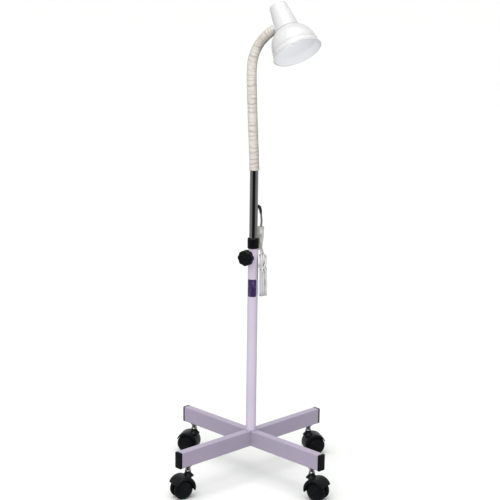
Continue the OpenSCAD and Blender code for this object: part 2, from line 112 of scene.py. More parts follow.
class Shader:
    """A Principled material built from noises of the row frame's own coordinates."""

    def __init__(self, name):
        self.mat = bpy.data.materials.new(name)
        self.mat.use_nodes = True
        self.tree = self.mat.node_tree
        self.bsdf = next(n for n in self.tree.nodes if n.type == "BSDF_PRINCIPLED")
        self.where = self.node("ShaderNodeTexCoord").outputs["Object"]

    def node(self, kind, **values):
        n = self.tree.nodes.new(kind)
        for key, value in values.items():
            if key in n.inputs:
                n.inputs[key].default_value = value
            else:
                setattr(n, key, value)
        return n

    def join(self, source, target):
        self.tree.links.new(source, target)

    def set(self, **values):
        for key, value in values.items():
            self.bsdf.inputs[key.replace("_", " ")].default_value = value
        return self

    def noise(self, scale, detail=3.0, stretch=None, rough=0.55):
        n = self.node("ShaderNodeTexNoise", Scale=scale, Detail=detail, Roughness=rough)
        if stretch:
            m = self.node("ShaderNodeMapping")
            m.inputs["Scale"].default_value = stretch
            self.join(self.where, m.inputs["Vector"])
            self.join(m.outputs["Vector"], n.inputs["Vector"])
        else:
            self.join(self.where, n.inputs["Vector"])
        return n.outputs["Fac"]

    def ramp(self, fac, stops):
        r = self.node("ShaderNodeValToRGB")
        e = r.color_ramp.elements
        while len(e) < len(stops):
            e.new(0.5)
        for slot, (at, value) in zip(e, stops):
            slot.position = at
            slot.color = (*value, 1) if hasattr(value, "__len__") else (value, value, value, 1)
        self.join(fac, r.inputs["Fac"])
        return r.outputs["Color"]

    def mix(self, fac, a, b, blend="MIX"):
        m = self.node("ShaderNodeMix", data_type="RGBA", blend_type=blend)
        for source, index in ((fac, 0), (a, 6), (b, 7)):
            if isinstance(source, bpy.types.NodeSocket):
                self.join(source, m.inputs[index])
            elif index == 0:
                m.inputs[0].default_value = source
            else:
                m.inputs[index].default_value = (*source, 1)
        return m.outputs[2]

    def range(self, fac, low, high, start=0.3, end=0.7):
        m = self.node("ShaderNodeMapRange")
        for key, value in (("From Min", start), ("From Max", end), ("To Min", low), ("To Max", high)):
            m.inputs[key].default_value = value
        self.join(fac, m.inputs["Value"])
        return m.outputs["Result"]

    def bump(self, height, depth, strength=1.0):
        b = self.node("ShaderNodeBump", Strength=strength, Distance=depth)
        self.join(height, b.inputs["Height"])
        if self.bsdf.inputs["Normal"].links:
            self.join(self.bsdf.inputs["Normal"].links[0].from_socket, b.inputs["Normal"])
        self.join(b.outputs["Normal"], self.bsdf.inputs["Normal"])
        return self

    def color(self, socket):
        self.join(socket, self.bsdf.inputs["Base Color"])
        return self

    def rough(self, socket):
        self.join(socket, self.bsdf.inputs["Roughness"])
        return self


def painted(name, low, high, rough=(0.28, 0.42), peel=0.00006, coat=0.25):
    """Powder coat or enamel: faint clouding, orange peel and a few dull specks."""
    s = Shader(name)
    s.color(s.mix(s.ramp(s.noise(95, 4), [(0.63, 0.0), (0.72, 0.16)]),
                  s.ramp(s.noise(7, 4), [(0.32, low), (0.68, high)]), tuple(0.82 * c for c in low)))
    s.rough(s.range(s.noise(30, 5), *rough))
    s.bump(s.noise(900, 2), peel, 0.35)
    return s.set(Coat_Weight=coat, Coat_Roughness=0.22, Specular_IOR_Level=0.5).mat


def moulded(name, low, high, rough=(0.38, 0.55), grain=0.00008, scale=1400, coat=0.0):
    """Moulded plastic: fine spark-eroded grain and slow variation of tone and gloss."""
    s = Shader(name)
    s.color(s.ramp(s.noise(22, 5), [(0.3, low), (0.7, high)]))
    s.rough(s.range(s.noise(60, 4), *rough))
    s.bump(s.noise(scale, 2), grain, 0.5)
    return s.set(Coat_Weight=coat, Coat_Roughness=0.2).mat


def metal(name, low, high, rough=(0.12, 0.24), stretch=None, scratch=0.00002):
    """Plated or brushed metal: drawn streaks and cloudy gloss."""
    s = Shader(name)
    s.color(s.ramp(s.noise(40, 4), [(0.3, low), (0.7, high)]))
    s.rough(s.range(s.noise(55, 5, stretch), *rough))
    s.bump(s.noise(700, 3, stretch), scratch, 0.5)
    return s.set(Metallic=1.0).mat


def dulled(mat):
    """The same material with a weaker specular reflection."""
    shader = next(n for n in mat.node_tree.nodes if n.type == "BSDF_PRINCIPLED")
    shader.inputs["Specular IOR Level"].default_value = 0.22
    return mat


def sleeve_material():
    """Ivory vinyl with painted shade in its folds, along its inner side and at the back, and soiled where hands
    bend it.
    """
    s = Shader("ivory_vinyl_sleeve")
    fold_shade = s.node("ShaderNodeAttribute", attribute_name="fold_shade").outputs["Fac"]
    soil_and_side_shade = s.node("ShaderNodeAttribute", attribute_name="soil_and_side_shade").outputs["Fac"]
    tone = s.ramp(s.noise(26, 4), [(0.3, (0.735, 0.695, 0.63)), (0.7, (0.84, 0.805, 0.745))])
    # painted shade: the vinyl darkens in its grooves and under its folds
    fold = s.ramp(fold_shade, [(0.0, 0.0), (0.3, 0.20), (1.0, 0.74)])
    fold_shaded = s.mix(fold, tone, (0.36, 0.325, 0.285))
    # painted shade on the inner side and back, mixed with soil where hands bend it
    soiled_and_shaded = s.mix(soil_and_side_shade, fold_shaded, (0.235, 0.205, 0.175))
    s.color(s.mix(s.ramp(s.noise(160, 5), [(0.52, 0.0), (0.75, 0.42)]), soiled_and_shaded, (0.42, 0.365, 0.30)))
    s.rough(s.range(s.noise(70, 5), 0.42, 0.62))
    s.bump(s.noise(420, 5, (1, 1, 0.55)), 0.00035, 0.6)
    s.bump(s.noise(1500, 3), 0.0001, 0.5)
    return s.set(Subsurface_Weight=0.12, Subsurface_Radius=(0.004, 0.003, 0.002), Sheen_Weight=0.1,
                 Coat_Weight=0.12, Coat_Roughness=0.35).mat


def lead_material():
    """A light sheath with painted shade where its turns lie against each other."""
    s = Shader("lead_sheath")
    near = s.node("ShaderNodeAmbientOcclusion", samples=6, Distance=0.007)
    unshaded_tone = s.ramp(s.noise(22, 5), [(0.3, (0.70, 0.69, 0.685)), (0.7, (0.80, 0.79, 0.785))])
    # painted shade: the colour goes dark where ambient occlusion finds turns close by
    s.color(s.mix(s.ramp(near.outputs["AO"], [(0.30, 1.0), (0.80, 0.0)]), unshaded_tone, (0.085, 0.08, 0.09)))
    s.rough(s.range(s.noise(60, 4), 0.36, 0.5))
    s.bump(s.noise(700, 2), 0.00006, 0.5)
    return s.mat


def label_material():
    """A plain dark violet film, cloudy and rubbed, with nothing printed on it."""
    s = Shader("label_film")
    base = s.ramp(s.noise(120, 5, (1, 1, 0.5)), [(0.3, (0.022, 0.008, 0.075)), (0.55, (0.05, 0.024, 0.125)),
                                                (0.75, (0.16, 0.115, 0.27))])
    streaks = s.ramp(s.noise(230, 4, (1, 1, 0.22)), [(0.55, 0.0), (0.75, 0.45)])
    s.color(s.mix(streaks, base, (0.21, 0.165, 0.34)))
    s.rough(s.range(s.noise(180, 4), 0.22, 0.5))
    s.bump(s.noise(300, 4), 0.00012, 0.6)
    return s.set(Coat_Weight=0.35, Coat_Roughness=0.15).mat


MAT = {
    # painted shade: the base's beams and the post's foot weld take a darker copy of the post's lavender paint
    "frame": painted("lavender_powder_coat_shaded", (0.40, 0.35, 0.455), (0.445, 0.39, 0.50)),
    "post": painted("lavender_powder_coat_post", (0.66, 0.58, 0.71), (0.72, 0.635, 0.77)),
    "white": painted("white_enamel", (0.72, 0.715, 0.71), (0.77, 0.765, 0.76), (0.2, 0.32), 0.00003, 0.35),
    # a whiter enamel for the shade's inside, brightened as painted light
    "inside": painted("white_enamel_inside_lit", (0.90, 0.91, 0.93), (0.94, 0.945, 0.96),
                      (0.3, 0.45), 0.00004, 0.2),
    "black": dulled(moulded("black_plastic", (0.0045, 0.005, 0.006), (0.008, 0.0085, 0.0105), (0.3, 0.46))),
    "wheel": dulled(moulded("caster_nylon", (0.0045, 0.005, 0.006), (0.009, 0.0095, 0.012), (0.26, 0.42))),
    "tread": dulled(moulded("tread_rubber", (0.006, 0.006, 0.0065), (0.011, 0.011, 0.012),
                            (0.5, 0.7), 0.00015, 900)),
    "chrome": metal("chrome_plate", (0.62, 0.615, 0.62), (0.68, 0.675, 0.68),
                    (0.035, 0.10), (1, 1, 0.02), 0.000004),
    "zinc": metal("bright_zinc", (0.60, 0.60, 0.62), (0.76, 0.76, 0.78), (0.18, 0.34)),
    "brass": metal("brass", (0.62, 0.45, 0.18), (0.80, 0.62, 0.30), (0.18, 0.34)),
    "nickel": metal("nickel", (0.60, 0.58, 0.54), (0.74, 0.72, 0.68), (0.16, 0.30)),
    "nylon": moulded("natural_nylon", (0.62, 0.61, 0.58), (0.70, 0.69, 0.66), (0.4, 0.55)),
    "grommet": moulded("grommet_rubber", (0.018, 0.018, 0.019), (0.03, 0.03, 0.031), (0.6, 0.8)),
    "holder": moulded("holder_thermoset", (0.80, 0.79, 0.74), (0.87, 0.86, 0.82),
                      (0.22, 0.36), 0.00003, 900, 0.3),
    "switch": moulded("cream_plastic", (0.56, 0.54, 0.50), (0.63, 0.61, 0.57),
                      (0.3, 0.42), 0.00005, 1300, 0.15),
    "rocker": moulded("rocker_plastic", (0.70, 0.68, 0.62), (0.78, 0.76, 0.70),
                      (0.22, 0.34), 0.00004, 1300, 0.2),
    "lead": lead_material(),
    # painted shade: a darker grey copy of the lead's sheath, for its upper stretch
    "lead_shaded": moulded("lead_sheath_shaded", (0.17, 0.155, 0.16), (0.24, 0.22, 0.225),
                         (0.4, 0.55), 0.00006, 700),
    "tie": moulded("tie_plastic", (0.72, 0.72, 0.70), (0.80, 0.80, 0.78), (0.3, 0.45), 0.00008, 600, 0.2),
    "bulb": moulded("opal_glass", (0.88, 0.89, 0.87), (0.93, 0.94, 0.92), (0.1, 0.18), 0.00001, 500, 1.0),
    "sleeve": sleeve_material(),
    "label": label_material(),
}


def dress(obj, material):
    obj.data.materials.clear()
    obj.data.materials.append(MAT[material])
    return obj


def soften(obj, width, segments=3, angle=35):
    b = obj.modifiers.new("bevel", "BEVEL")
    b.width, b.segments, b.limit_method, b.angle_limit = width * MM, segments, "ANGLE", deg(angle)
    b.harden_normals = True
    smooth_shaded(obj.data)


def tube_normals(grid):
    """Smooth normals of a tube made of rings, for pieces that are cut from it afterwards."""
    lengthwise = np.gradient(grid, axis=0)
    around = np.roll(grid, -1, 1) - np.roll(grid, 1, 1)
    n = np.cross(around, lengthwise)
    return n / np.linalg.norm(n, axis=2, keepdims=True)


# ---------------------------------------------------------------- shared shape builders

def fillet(points, n=5):
    """A profile of (r, z, radius) corners, with each corner of some radius turned into an arc."""
    out = []
    for i, p in enumerate(points):
        r = p[2] if len(p) > 2 else 0
        if not r or i in (0, len(points) - 1):
            out.append((p[0], p[1]))
            continue
        here = Vector(p[:2])
        a, b = Vector(points[i - 1][:2]) - here, Vector(points[i + 1][:2]) - here
        half = a.angle(b) / 2
        cut = min(r / math.tan(half), 0.49 * a.length, 0.49 * b.length)
        start, end = here + a.normalized() * cut, here + b.normalized() * cut
        for k in range(n + 1):
            t = k / n
            out.append(tuple(start.lerp(here, t).lerp(here.lerp(end, t), t)))
    return out


def lathe(name, profile, place=None, steps=96, ripple=None):
    """A profile of (radius, height) in millimetres turned about Z, closed where it meets the axis."""
    rings, verts, faces = [], [], []
    for r, z in profile:
        if r < 1e-6:
            rings.append([len(verts)])
            verts.append((0, 0, z * MM))
            continue
        ring = []
        for k in range(steps):
            a = 2 * math.pi * k / steps
            rr = r + (ripple(a, r, z) if ripple else 0)
            ring.append(len(verts))
            verts.append((rr * MM * math.cos(a), rr * MM * math.sin(a), z * MM))
        rings.append(ring)
    for a, b in zip(rings, rings[1:]):
        for k in range(steps):
            quad = [a[k % len(a)], a[(k + 1) % len(a)], b[(k + 1) % len(b)], b[k % len(b)]]
            quad = list(dict.fromkeys(quad))
            if len(quad) > 2:
                faces.append(quad)
    obj = link_mesh(name, verts, faces)
    face_outwards(obj.data, merge=1e-7)
    if place:
        obj.data.transform(place)
    return obj


def slab(name, outline, low, high, edge=0.8, place=None, segments=4, taper=1.0):
    """An outline in X and Y raised from low to high, with its rims rounded."""
    bm = bmesh.new()
    base = [bm.verts.new((x * MM, y * MM, low * MM)) for x, y in outline]
    top = [bm.verts.new((x * taper * MM, y * taper * MM, high * MM)) for x, y in outline]
    n = len(outline)
    bm.faces.new(base[::-1])
    bm.faces.new(top)
    for k in range(n):
        bm.faces.new((base[k], base[(k + 1) % n], top[(k + 1) % n], top[k]))
    rims = [e for e in bm.edges if abs(e.verts[0].co.z - e.verts[1].co.z) < 1e-7]
    bmesh.ops.bevel(bm, geom=rims, offset=edge * MM, segments=segments, profile=0.5, affect="EDGES")
    bmesh.ops.recalc_face_normals(bm, faces=bm.faces)
    data = bpy.data.meshes.new(name)
    bm.to_mesh(data)
    bm.free()
    smooth_shaded(data, sharp=50)
    if place:
        data.transform(place)
    return new_object(name, data)


def joined(name, parts):
    """Several objects as one mesh."""
    bm = bmesh.new()
    for p in parts:
        p.data.transform(p.matrix_world)
        bm.from_mesh(p.data)
        bpy.data.objects.remove(p)
    data = bpy.data.meshes.new(name)
    bm.to_mesh(data)
    bm.free()
    smooth_shaded(data, sharp=48)
    return new_object(name, data)


def round_outline(w, h, r, n=8):
    """A rectangle of w by h with corners of radius r."""
    out = []
    for cx, cy, start in ((1, 1, 0), (-1, 1, 90), (-1, -1, 180), (1, -1, 270)):
        for k in range(n + 1):
            a = deg(start + 90 * k / n)
            out.append((cx * (w / 2 - r) + r * math.cos(a), cy * (h / 2 - r) + r * math.sin(a)))
    return out


def along(angle, z):
    """From +Z drawing to a horizontal axis at this angle and height."""
    turn = Matrix.Rotation(deg(angle), 4, "Z") @ Matrix.Rotation(deg(90), 4, "Y")
    return Matrix.Translation((0, 0, z * MM)) @ turn


def catmull(points, step):
    """A smooth line through points, resampled at about this spacing."""
    p = np.array(points, float)
    p = np.vstack([2 * p[0] - p[1], p, 2 * p[-1] - p[-2]])
    fine = []
    for i in range(1, len(p) - 2):
        for t in np.linspace(0, 1, 24, endpoint=False):
            a, b, c, d = p[i - 1], p[i], p[i + 1], p[i + 2]
            fine.append(0.5 * (2 * b + (c - a) * t + (2 * a - 5 * b + 4 * c - d) * t * t
                               + (3 * b - a - 3 * c + d) * t ** 3))
    fine.append(p[-2])
    fine = np.array(fine)
    s = np.concatenate([[0], np.cumsum(np.linalg.norm(np.diff(fine, axis=0), axis=1))])
    at = np.linspace(0, s[-1], max(2, int(round(s[-1] / step)) + 1))
    return np.stack([np.interp(at, s, fine[:, k]) for k in range(3)], 1)


def lead(name, line, radius, material):
    """A curve of one open spline along a line in millimetres."""
    data = bpy.data.curves.new(name, "CURVE")
    data.dimensions = "3D"
    data.bevel_depth = radius * MM
    data.bevel_resolution = 5
    data.use_fill_caps = True
    spline = data.splines.new("POLY")
    spline.points.add(len(line) - 1)
    for point, co in zip(spline.points, line):
        point.co = (*(co * MM), 1)
    spline.use_smooth = True
    data.materials.append(MAT[material])
    return new_object(name, data)


# ---------------------------------------------------------------- the lead

LEAD_R = 2.5
SWITCH_AT = Vector((18.0, 15.3, 614.0))
PLUG_AT = Vector((6.0, 37.0, 502.0))
UPPER_ROUTE = [
    (10, 4.7, 692), (12.5, 5.9, 691.5), (14.5, 7.2, 689.5), (16, 8.4, 685), (17.2, 9.6, 679),
    (18.3, 11.2, 671), (19.2, 13, 662), (19.6, 14.3, 655), (19.3, 15, 648), (18.5, 15.3, 643),
    (18, 15.3, 639.5)]
LOWER_ROUTE = [(18, 15.3, 588.5), (18.1, 14.8, 585), (18.5, 13, 581), (19.3, 10.3, 577), (20, 7.3, 573)]
TAIL_ROUTE = [
    (23.7, 12.2, 576), (22.8, 16, 580.5), (21, 21, 583), (18.2, 26.5, 583),
    (14.2, 31.5, 580.5), (10, 35, 576), (7.2, 36.7, 571), (6, 37, 565), (6, 37, 557)]
# Where each turn's lower fold hangs, and its radius: every other turn lies inside its neighbours
WIDE, NARROW = 15.2, 11.4
FOLDS = [(17.8, WIDE), (20.4, NARROW), (23.0, WIDE), (25.4, NARROW), (27.8, WIDE), (30.3, NARROW),
         (33.0, WIDE)]
TURN_ORDER = [1, 0, 2, 3, 5, 6, 4]
FOLD_ANGLES = range(15, 180, 30)
NESTING = 5.2
HANK_LOW, HANK_HIGH = 484.0, 558
HANK_TOP_X, HANK_SPREAD = 18.0, 0.7
HANK_BOX = ((15.2, -18.0, 466.0), (36.0, 18.0, 575.5))
WAIST_Z, WAIST_REACH, WAIST_PULL = 544, 34, 2.6
TIE_Z, TIE_REACH = 544.5, 5
TIE_X = (17.7, 28.0)
CLEARANCE = 2 * LEAD_R + 0.06
EASY_BEND = 13.5


def turn_size(k):
    """A turn's lower fold's x and radius, its shortening at each end, and its upper fold's x."""
    x, r = FOLDS[k]
    return x, r, NESTING if r == NARROW else 0.0, HANK_TOP_X + (x - FOLDS[0][0]) * HANK_SPREAD


def hank_line():
    """The free lead from the switch through the turns of the hank to the plug, before it settles."""
    shake = random.Random(7)
    points = list(LOWER_ROUTE)
    for turn, k in enumerate(TURN_ORDER):
        x, r, lift, top = turn_size(k)
        low, high = HANK_LOW + lift + shake.uniform(0, 2.5), HANK_HIGH - lift
        legs = []
        for z in (high - 2, WAIST_Z, 528, 510, low + 6):
            fan = (WAIST_Z - z) / (WAIST_Z - low) if z < WAIST_Z else 0.0
            tight = max(0.0, 1 - abs(z - WAIST_Z) / WAIST_REACH)
            legs.append((top + (x - top) * fan + shake.uniform(-0.4, 0.4), r - WAIST_PULL * tight, z))
        points.extend((px, -py, pz) for px, py, pz in legs)
        for a in FOLD_ANGLES:
            points.append((x + shake.uniform(-0.3, 0.3), -r * math.cos(deg(a)), low - r * math.sin(deg(a))))
        points.extend(legs[::-1])
        if turn + 1 < len(TURN_ORDER):
            _, next_r, next_lift, next_top = turn_size(TURN_ORDER[turn + 1])
            next_high = HANK_HIGH - next_lift
            for a in FOLD_ANGLES:
                t = a / 180
                rr = r * (1 - t) + next_r * t
                points.append((top * (1 - t) + next_top * t, rr * math.cos(deg(a)),
                               high * (1 - t) + next_high * t + rr * math.sin(deg(a))))
    return catmull(points + TAIL_ROUTE, 4.0)


def settle(line, rounds=160):
    """Moves apart stretches that lie in each other and eases tight bends, keeping the line's length."""
    line = line.copy()
    fixed = line.copy()
    n = len(line)
    rest = np.linalg.norm(np.diff(line, axis=0), axis=1).mean()
    limit = rest * rest / (2 * EASY_BEND)
    index = np.arange(n)
    far = np.abs(index[:, None] - index[None, :]) > 5
    held, free = np.zeros(n, bool), np.zeros(n, bool)
    held[:4] = held[-12:] = True
    free[8:-22] = True
    low, high = np.array(HANK_BOX[0]) + LEAD_R, np.array(HANK_BOX[1]) - LEAD_R
    for _ in range(rounds):
        # stretches that lie in each other push apart
        gap = line[:, None, :] - line[None, :, :]
        dist = np.linalg.norm(gap, axis=2) + np.eye(n)
        near = far & (dist < CLEARANCE)
        push = np.where(near, (CLEARANCE - dist) / dist, 0.0)[:, :, None] * gap
        move = push.sum(1) / np.maximum(1, near.sum(1))[:, None] * 0.55
        # tight bends ease
        mid = (line[:-2] + line[2:]) / 2 - line[1:-1]
        bent = np.linalg.norm(mid, axis=1)
        ease = np.where(bent > limit, (bent - limit) / np.maximum(bent, 1e-9), 0.04)[:, None] * mid
        move[1:-1] += 0.5 * ease
        line += move
        # the spacing of the points, and so the length, comes back
        for _ in range(4):
            span = np.diff(line, axis=0)
            size = np.linalg.norm(span, axis=1)
            fix = ((size - rest) / size * 0.45)[:, None] * span
            line[:-1] += fix
            line[1:] -= fix
            line[held] = fixed[held]
        line[free] = np.clip(line[free], low, high)
        tied = free & (np.abs(line[:, 2] - TIE_Z) < TIE_REACH)
        line[tied, 0] = np.clip(line[tied, 0], *TIE_X)
        line[held] = fixed[held]
    return line


upper_line = catmull(UPPER_ROUTE, 2.0)
main_line = settle(hank_line())
every_other = main_line[::2]
if len(main_line) % 2 == 0:
    every_other = np.vstack([every_other, main_line[-1:]])
main_line = catmull(every_other, 2.4)
# the lead's upper stretch takes the darker copy of its sheath, as painted shade
upper_lead = lead("lead_upper", upper_line, LEAD_R, "lead_shaded")
main_lead = lead("lead_main", main_line, LEAD_R, "lead")


def taper_tube(name, line, radii, sides=28):
    """A tube along a line in millimetres, with its own radius at each point."""
    line = np.array(line, float)
    tangent = np.gradient(line, axis=0)
    tangent /= np.linalg.norm(tangent, axis=1)[:, None]
    side = np.cross(tangent[0], (0.1, 1, 0.2))
    verts, faces = [], []
    for i, (p, t, r) in enumerate(zip(line, tangent, radii)):
        side = side - t * (side @ t)
        side /= np.linalg.norm(side)
        other = np.cross(t, side)
        for k in range(sides):
            a = 2 * math.pi * k / sides
            verts.append((p + r * (math.cos(a) * side + math.sin(a) * other)) * MM)
    for i in range(len(line) - 1):
        for k in range(sides):
            a, b = i * sides + k, i * sides + (k + 1) % sides
            faces.append((a, b, b + sides, a + sides))
    faces.append(tuple(range(sides))[::-1])
    faces.append(tuple((len(line) - 1) * sides + k for k in range(sides)))
    obj = link_mesh(name, verts, faces)
    obj.data.set_sharp_from_angle(angle=deg(50))
    return obj


# Strain relief over the gland, ribbed, following the lead's first bend
relief = taper_tube("gland_relief", upper_line[:12],
                    [4.9, 4.9, 4.2, 4.3, 3.8, 3.95, 3.5, 3.65, 3.3, 3.4, 3.05, 2.7])
dress(relief, "grommet")
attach(relief, "mast")
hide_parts("cord_grommet")


# ---------------------------------------------------------------- switch, plug and tie

def switch_shell(name, low, high, front):
    """Half of the inline switch: low and high are its faces' y, and the outer face is crowned."""
    half_w, foot_w, corner, foot, waist, head = 7.5, 3.4, 4.0, -26.0, 2.0, 26.0
    outline = [(-foot_w, foot), (foot_w, foot), (5.6, -12), (half_w, waist), (half_w, head - corner)]
    outline += [(half_w - corner + corner * math.cos(deg(a)), head - corner + corner * math.sin(deg(a)))
                for a in range(15, 90, 15)]
    outline += [(half_w - corner, head), (corner - half_w, head)]
    outline += [(corner - half_w - corner * math.sin(deg(a)), head - corner + corner * math.cos(deg(a)))
                for a in range(15, 90, 15)]
    outline += [(-half_w, head - corner), (-half_w, waist), (-5.6, -12)]
    obj = slab(name, outline, -high, -low, 0.35, None, 2)
    bm = bmesh.new()
    bm.from_mesh(obj.data)
    outer = -low if front else -high
    rim = [e for e in bm.edges if all(abs(v.co.z - outer * MM) < 0.4 * MM for v in e.verts)]
    crown = [e for e in rim if e.calc_face_angle(0) > deg(12)]
    bmesh.ops.bevel(bm, geom=crown, offset=1.2 * MM, segments=4, profile=0.5, affect="EDGES")
    bm.to_mesh(obj.data)
    bm.free()
    smooth_shaded(obj.data, sharp=45)
    obj.data.transform(on_switch(0, 0))
    return obj


def on_switch(y, z):
    """From +Z drawing to the switch's front, at this y and height from its middle."""
    return Matrix.Translation((SWITCH_AT + Vector((0, y, z))) * MM) @ UPRIGHT


def cut(obj, tool):
    """Takes tool's shape out of obj."""
    m = obj.modifiers.new("cut", "BOOLEAN")
    m.operation, m.solver, m.object = "DIFFERENCE", "EXACT", tool
    dg = bpy.context.evaluated_depsgraph_get()
    data = bpy.data.meshes.new_from_object(obj.evaluated_get(dg))
    obj.modifiers.remove(m)
    obj.data = data
    bpy.data.objects.remove(tool)


BUTTON_Z, SCREW_Z = 13, -14
switch_back = dress(switch_shell("switch_back", 0.12, 5.5, False), "switch")
switch_front = switch_shell("switch_front", -5.5, -0.12, True)
well = slab("well", round_outline(7.2, 13.4, 1.2), -10, 2, 0.1)
well.data.transform(on_switch(-3.6, BUTTON_Z))
cut(switch_front, well)
screw_hole = lathe("screw_hole", [(0, -3), (1.7, -3), (1.7, 3), (0, 3)], on_switch(-5.6, SCREW_Z), 32)
cut(switch_front, screw_hole)
dress(switch_front, "switch")
rocker_profile = [(-6.0, 0.2), (-5.6, 1.5), (-3.0, 2.5), (0, 2.75), (3.0, 2.35), (5.6, 1.1), (6.0, -0.6),
                  (5.2, -1.8), (-5.2, -1.8)]
rocker = slab("switch_button", rocker_profile, -3.2, 3.2, 0.45)
rocker.data.transform(
    Matrix.Translation((SWITCH_AT + Vector((0, -4.6, BUTTON_Z))) * MM)
    @ Matrix.Rotation(deg(90), 4, "Z") @ UPRIGHT @ Matrix.Rotation(deg(90), 4, "Z"))
dress(rocker, "rocker")
screw_profile = fillet([(0, -1), (1.5, -1), (1.5, 0.6, 0.4), (0.25, 0.75), (0.25, 0.1), (0, 0.1)])
screw = lathe("switch_screw", screw_profile,
              on_switch(-4.3, SCREW_Z), 32)
dress(screw, "zinc")
for piece in (switch_back, switch_front, screw):
    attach(piece, "mast")
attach(rocker, "switch_rocker")
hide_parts("switch_base")
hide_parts("switch_cover")
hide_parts("switch_rocker")

plug_profile = [(-17.2, 0), (17.2, 0), (17.2, 7), (15.2, 12.5), (12.6, 17), (12.2, 22), (10.2, 29), (6.8, 34),
                (-6.8, 34), (-10.2, 29), (-12.2, 22), (-12.6, 17), (-15.2, 12.5), (-17.2, 7)]
plug = slab("plug_shell", plug_profile, -6.8, 6.8, 2.2, None, 5)
plug.data.transform(Matrix.Translation(PLUG_AT * MM) @ Matrix.Rotation(deg(90), 4, "Z") @ UPRIGHT)
plug_ribs = [(5.1 - 0.16 * (z - 32) + (0.35 if z % 4 else -0.35), z, 0.3) for z in range(32, 54, 2)]
plug_sleeve = lathe("plug_sleeve", fillet(
    [(0, 30), (5.3, 30)] + plug_ribs + [(2.9, 54.6, 0.5), (2.2, 55), (0, 55)]),
    Matrix.Translation(PLUG_AT * MM), 40)
plug = joined("plug_shell", [plug, plug_sleeve])
dress(plug, "switch")
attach(plug, "mast")
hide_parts("plug_body")

# Twist tie: a thin strip twice round the bundle, with its twisted ends at the front
tied = np.abs(main_line[:, 2] - TIE_Z) < 4.5
tied &= main_line[:, 1] < 25
tie_low = main_line[tied].min(0) - LEAD_R
tie_high = main_line[tied].max(0) + LEAD_R
tie_mid = (tie_low[0] + tie_high[0]) / 2
tie_a, tie_b = (tie_high[0] - tie_low[0]) / 2 + 0.5, max(abs(tie_low[1]), abs(tie_high[1])) + 0.5


def strip_round(name, z, height):
    """A band round a squarish bundle, standing up from z."""
    verts, faces, n, thick = [], [], 64, 0.8
    for k in range(n):
        t = 2 * math.pi * k / n
        c, s = math.cos(t), math.sin(t)
        grow = (abs(c) ** 4 + abs(s) ** 4) ** -0.25
        for d, up in ((0, 0), (thick, 0.15), (thick, height - 0.15), (0, height)):
            verts.append(((tie_mid + (tie_a + d) * c * grow) * MM, (tie_b + d) * s * grow * MM,
                          (z + up) * MM))
    for k in range(n):
        for j in range(4):
            a, b = k * 4, ((k + 1) % n) * 4
            faces.append((a + j, b + j, b + (j + 1) % 4, a + (j + 1) % 4))
    obj = link_mesh(name, verts, faces)
    face_outwards(obj.data)
    obj.data.set_sharp_from_angle(angle=deg(40))
    return obj


band = strip_round("tie_a", 541.6, 2.6)
band_two = strip_round("tie_b", 544.9, 2.6)
twist = []
for phase in (0, math.pi):
    path = [(tie_mid + 1.1 * math.cos(phase + t * 5.5), -tie_b - 1.4 - 3.2 * t / 3,
             544.6 + 1.1 * math.sin(phase + t * 5.5) - 3 * t) for t in np.linspace(0, 3, 40)]
    twist.append(taper_tube("twist", path, [0.85] * 40, 10))
tie = joined("lead_tie", [band, band_two, *twist])
dress(tie, "tie")
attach(tie, "mast")
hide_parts("cord_tie")

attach(upper_lead, "mast")
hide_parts("cord_upper")
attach(main_lead, "mast")
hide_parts("cord_lower", "cord_hank", "cord_tail")


# ---------------------------------------------------------------- neck

LINK = 36.5
LEAN = [-3, -3, -2.5, -2.5, -2, -2, 5, 25, 45.5]
END_LEAN = 65.6
SLEEVE_R, FOLD_DEPTH = 10.2, 1.9
SLEEVE_FOOT = 783.0


def lean_dir(a):
    return np.array([math.sin(deg(a)), 0.0, math.cos(deg(a))])


pivots = [np.array([0.0, 0.0, 802.0])]
for a in LEAN:
    pivots.append(pivots[-1] + LINK * lean_dir(a))
NECK_DIR = lean_dir(END_LEAN)
HEAD_AT = pivots[9] + 38.5 * NECK_DIR
HEAD = (Matrix.Translation(Vector(HEAD_AT) * MM) @ Matrix.Rotation(deg(END_LEAN - 90), 4, "Y")
        @ Matrix.Rotation(deg(-28.4), 4, "X"))


def hermite(p0, t0, p1, t1, n):
    t = np.linspace(0, 1, n + 1)[:, None]
    return ((2 * t ** 3 - 3 * t ** 2 + 1) * p0 + (t ** 3 - 2 * t ** 2 + t) * t0
            + (3 * t ** 2 - 2 * t ** 3) * p1 + (t ** 3 - t ** 2) * t1)


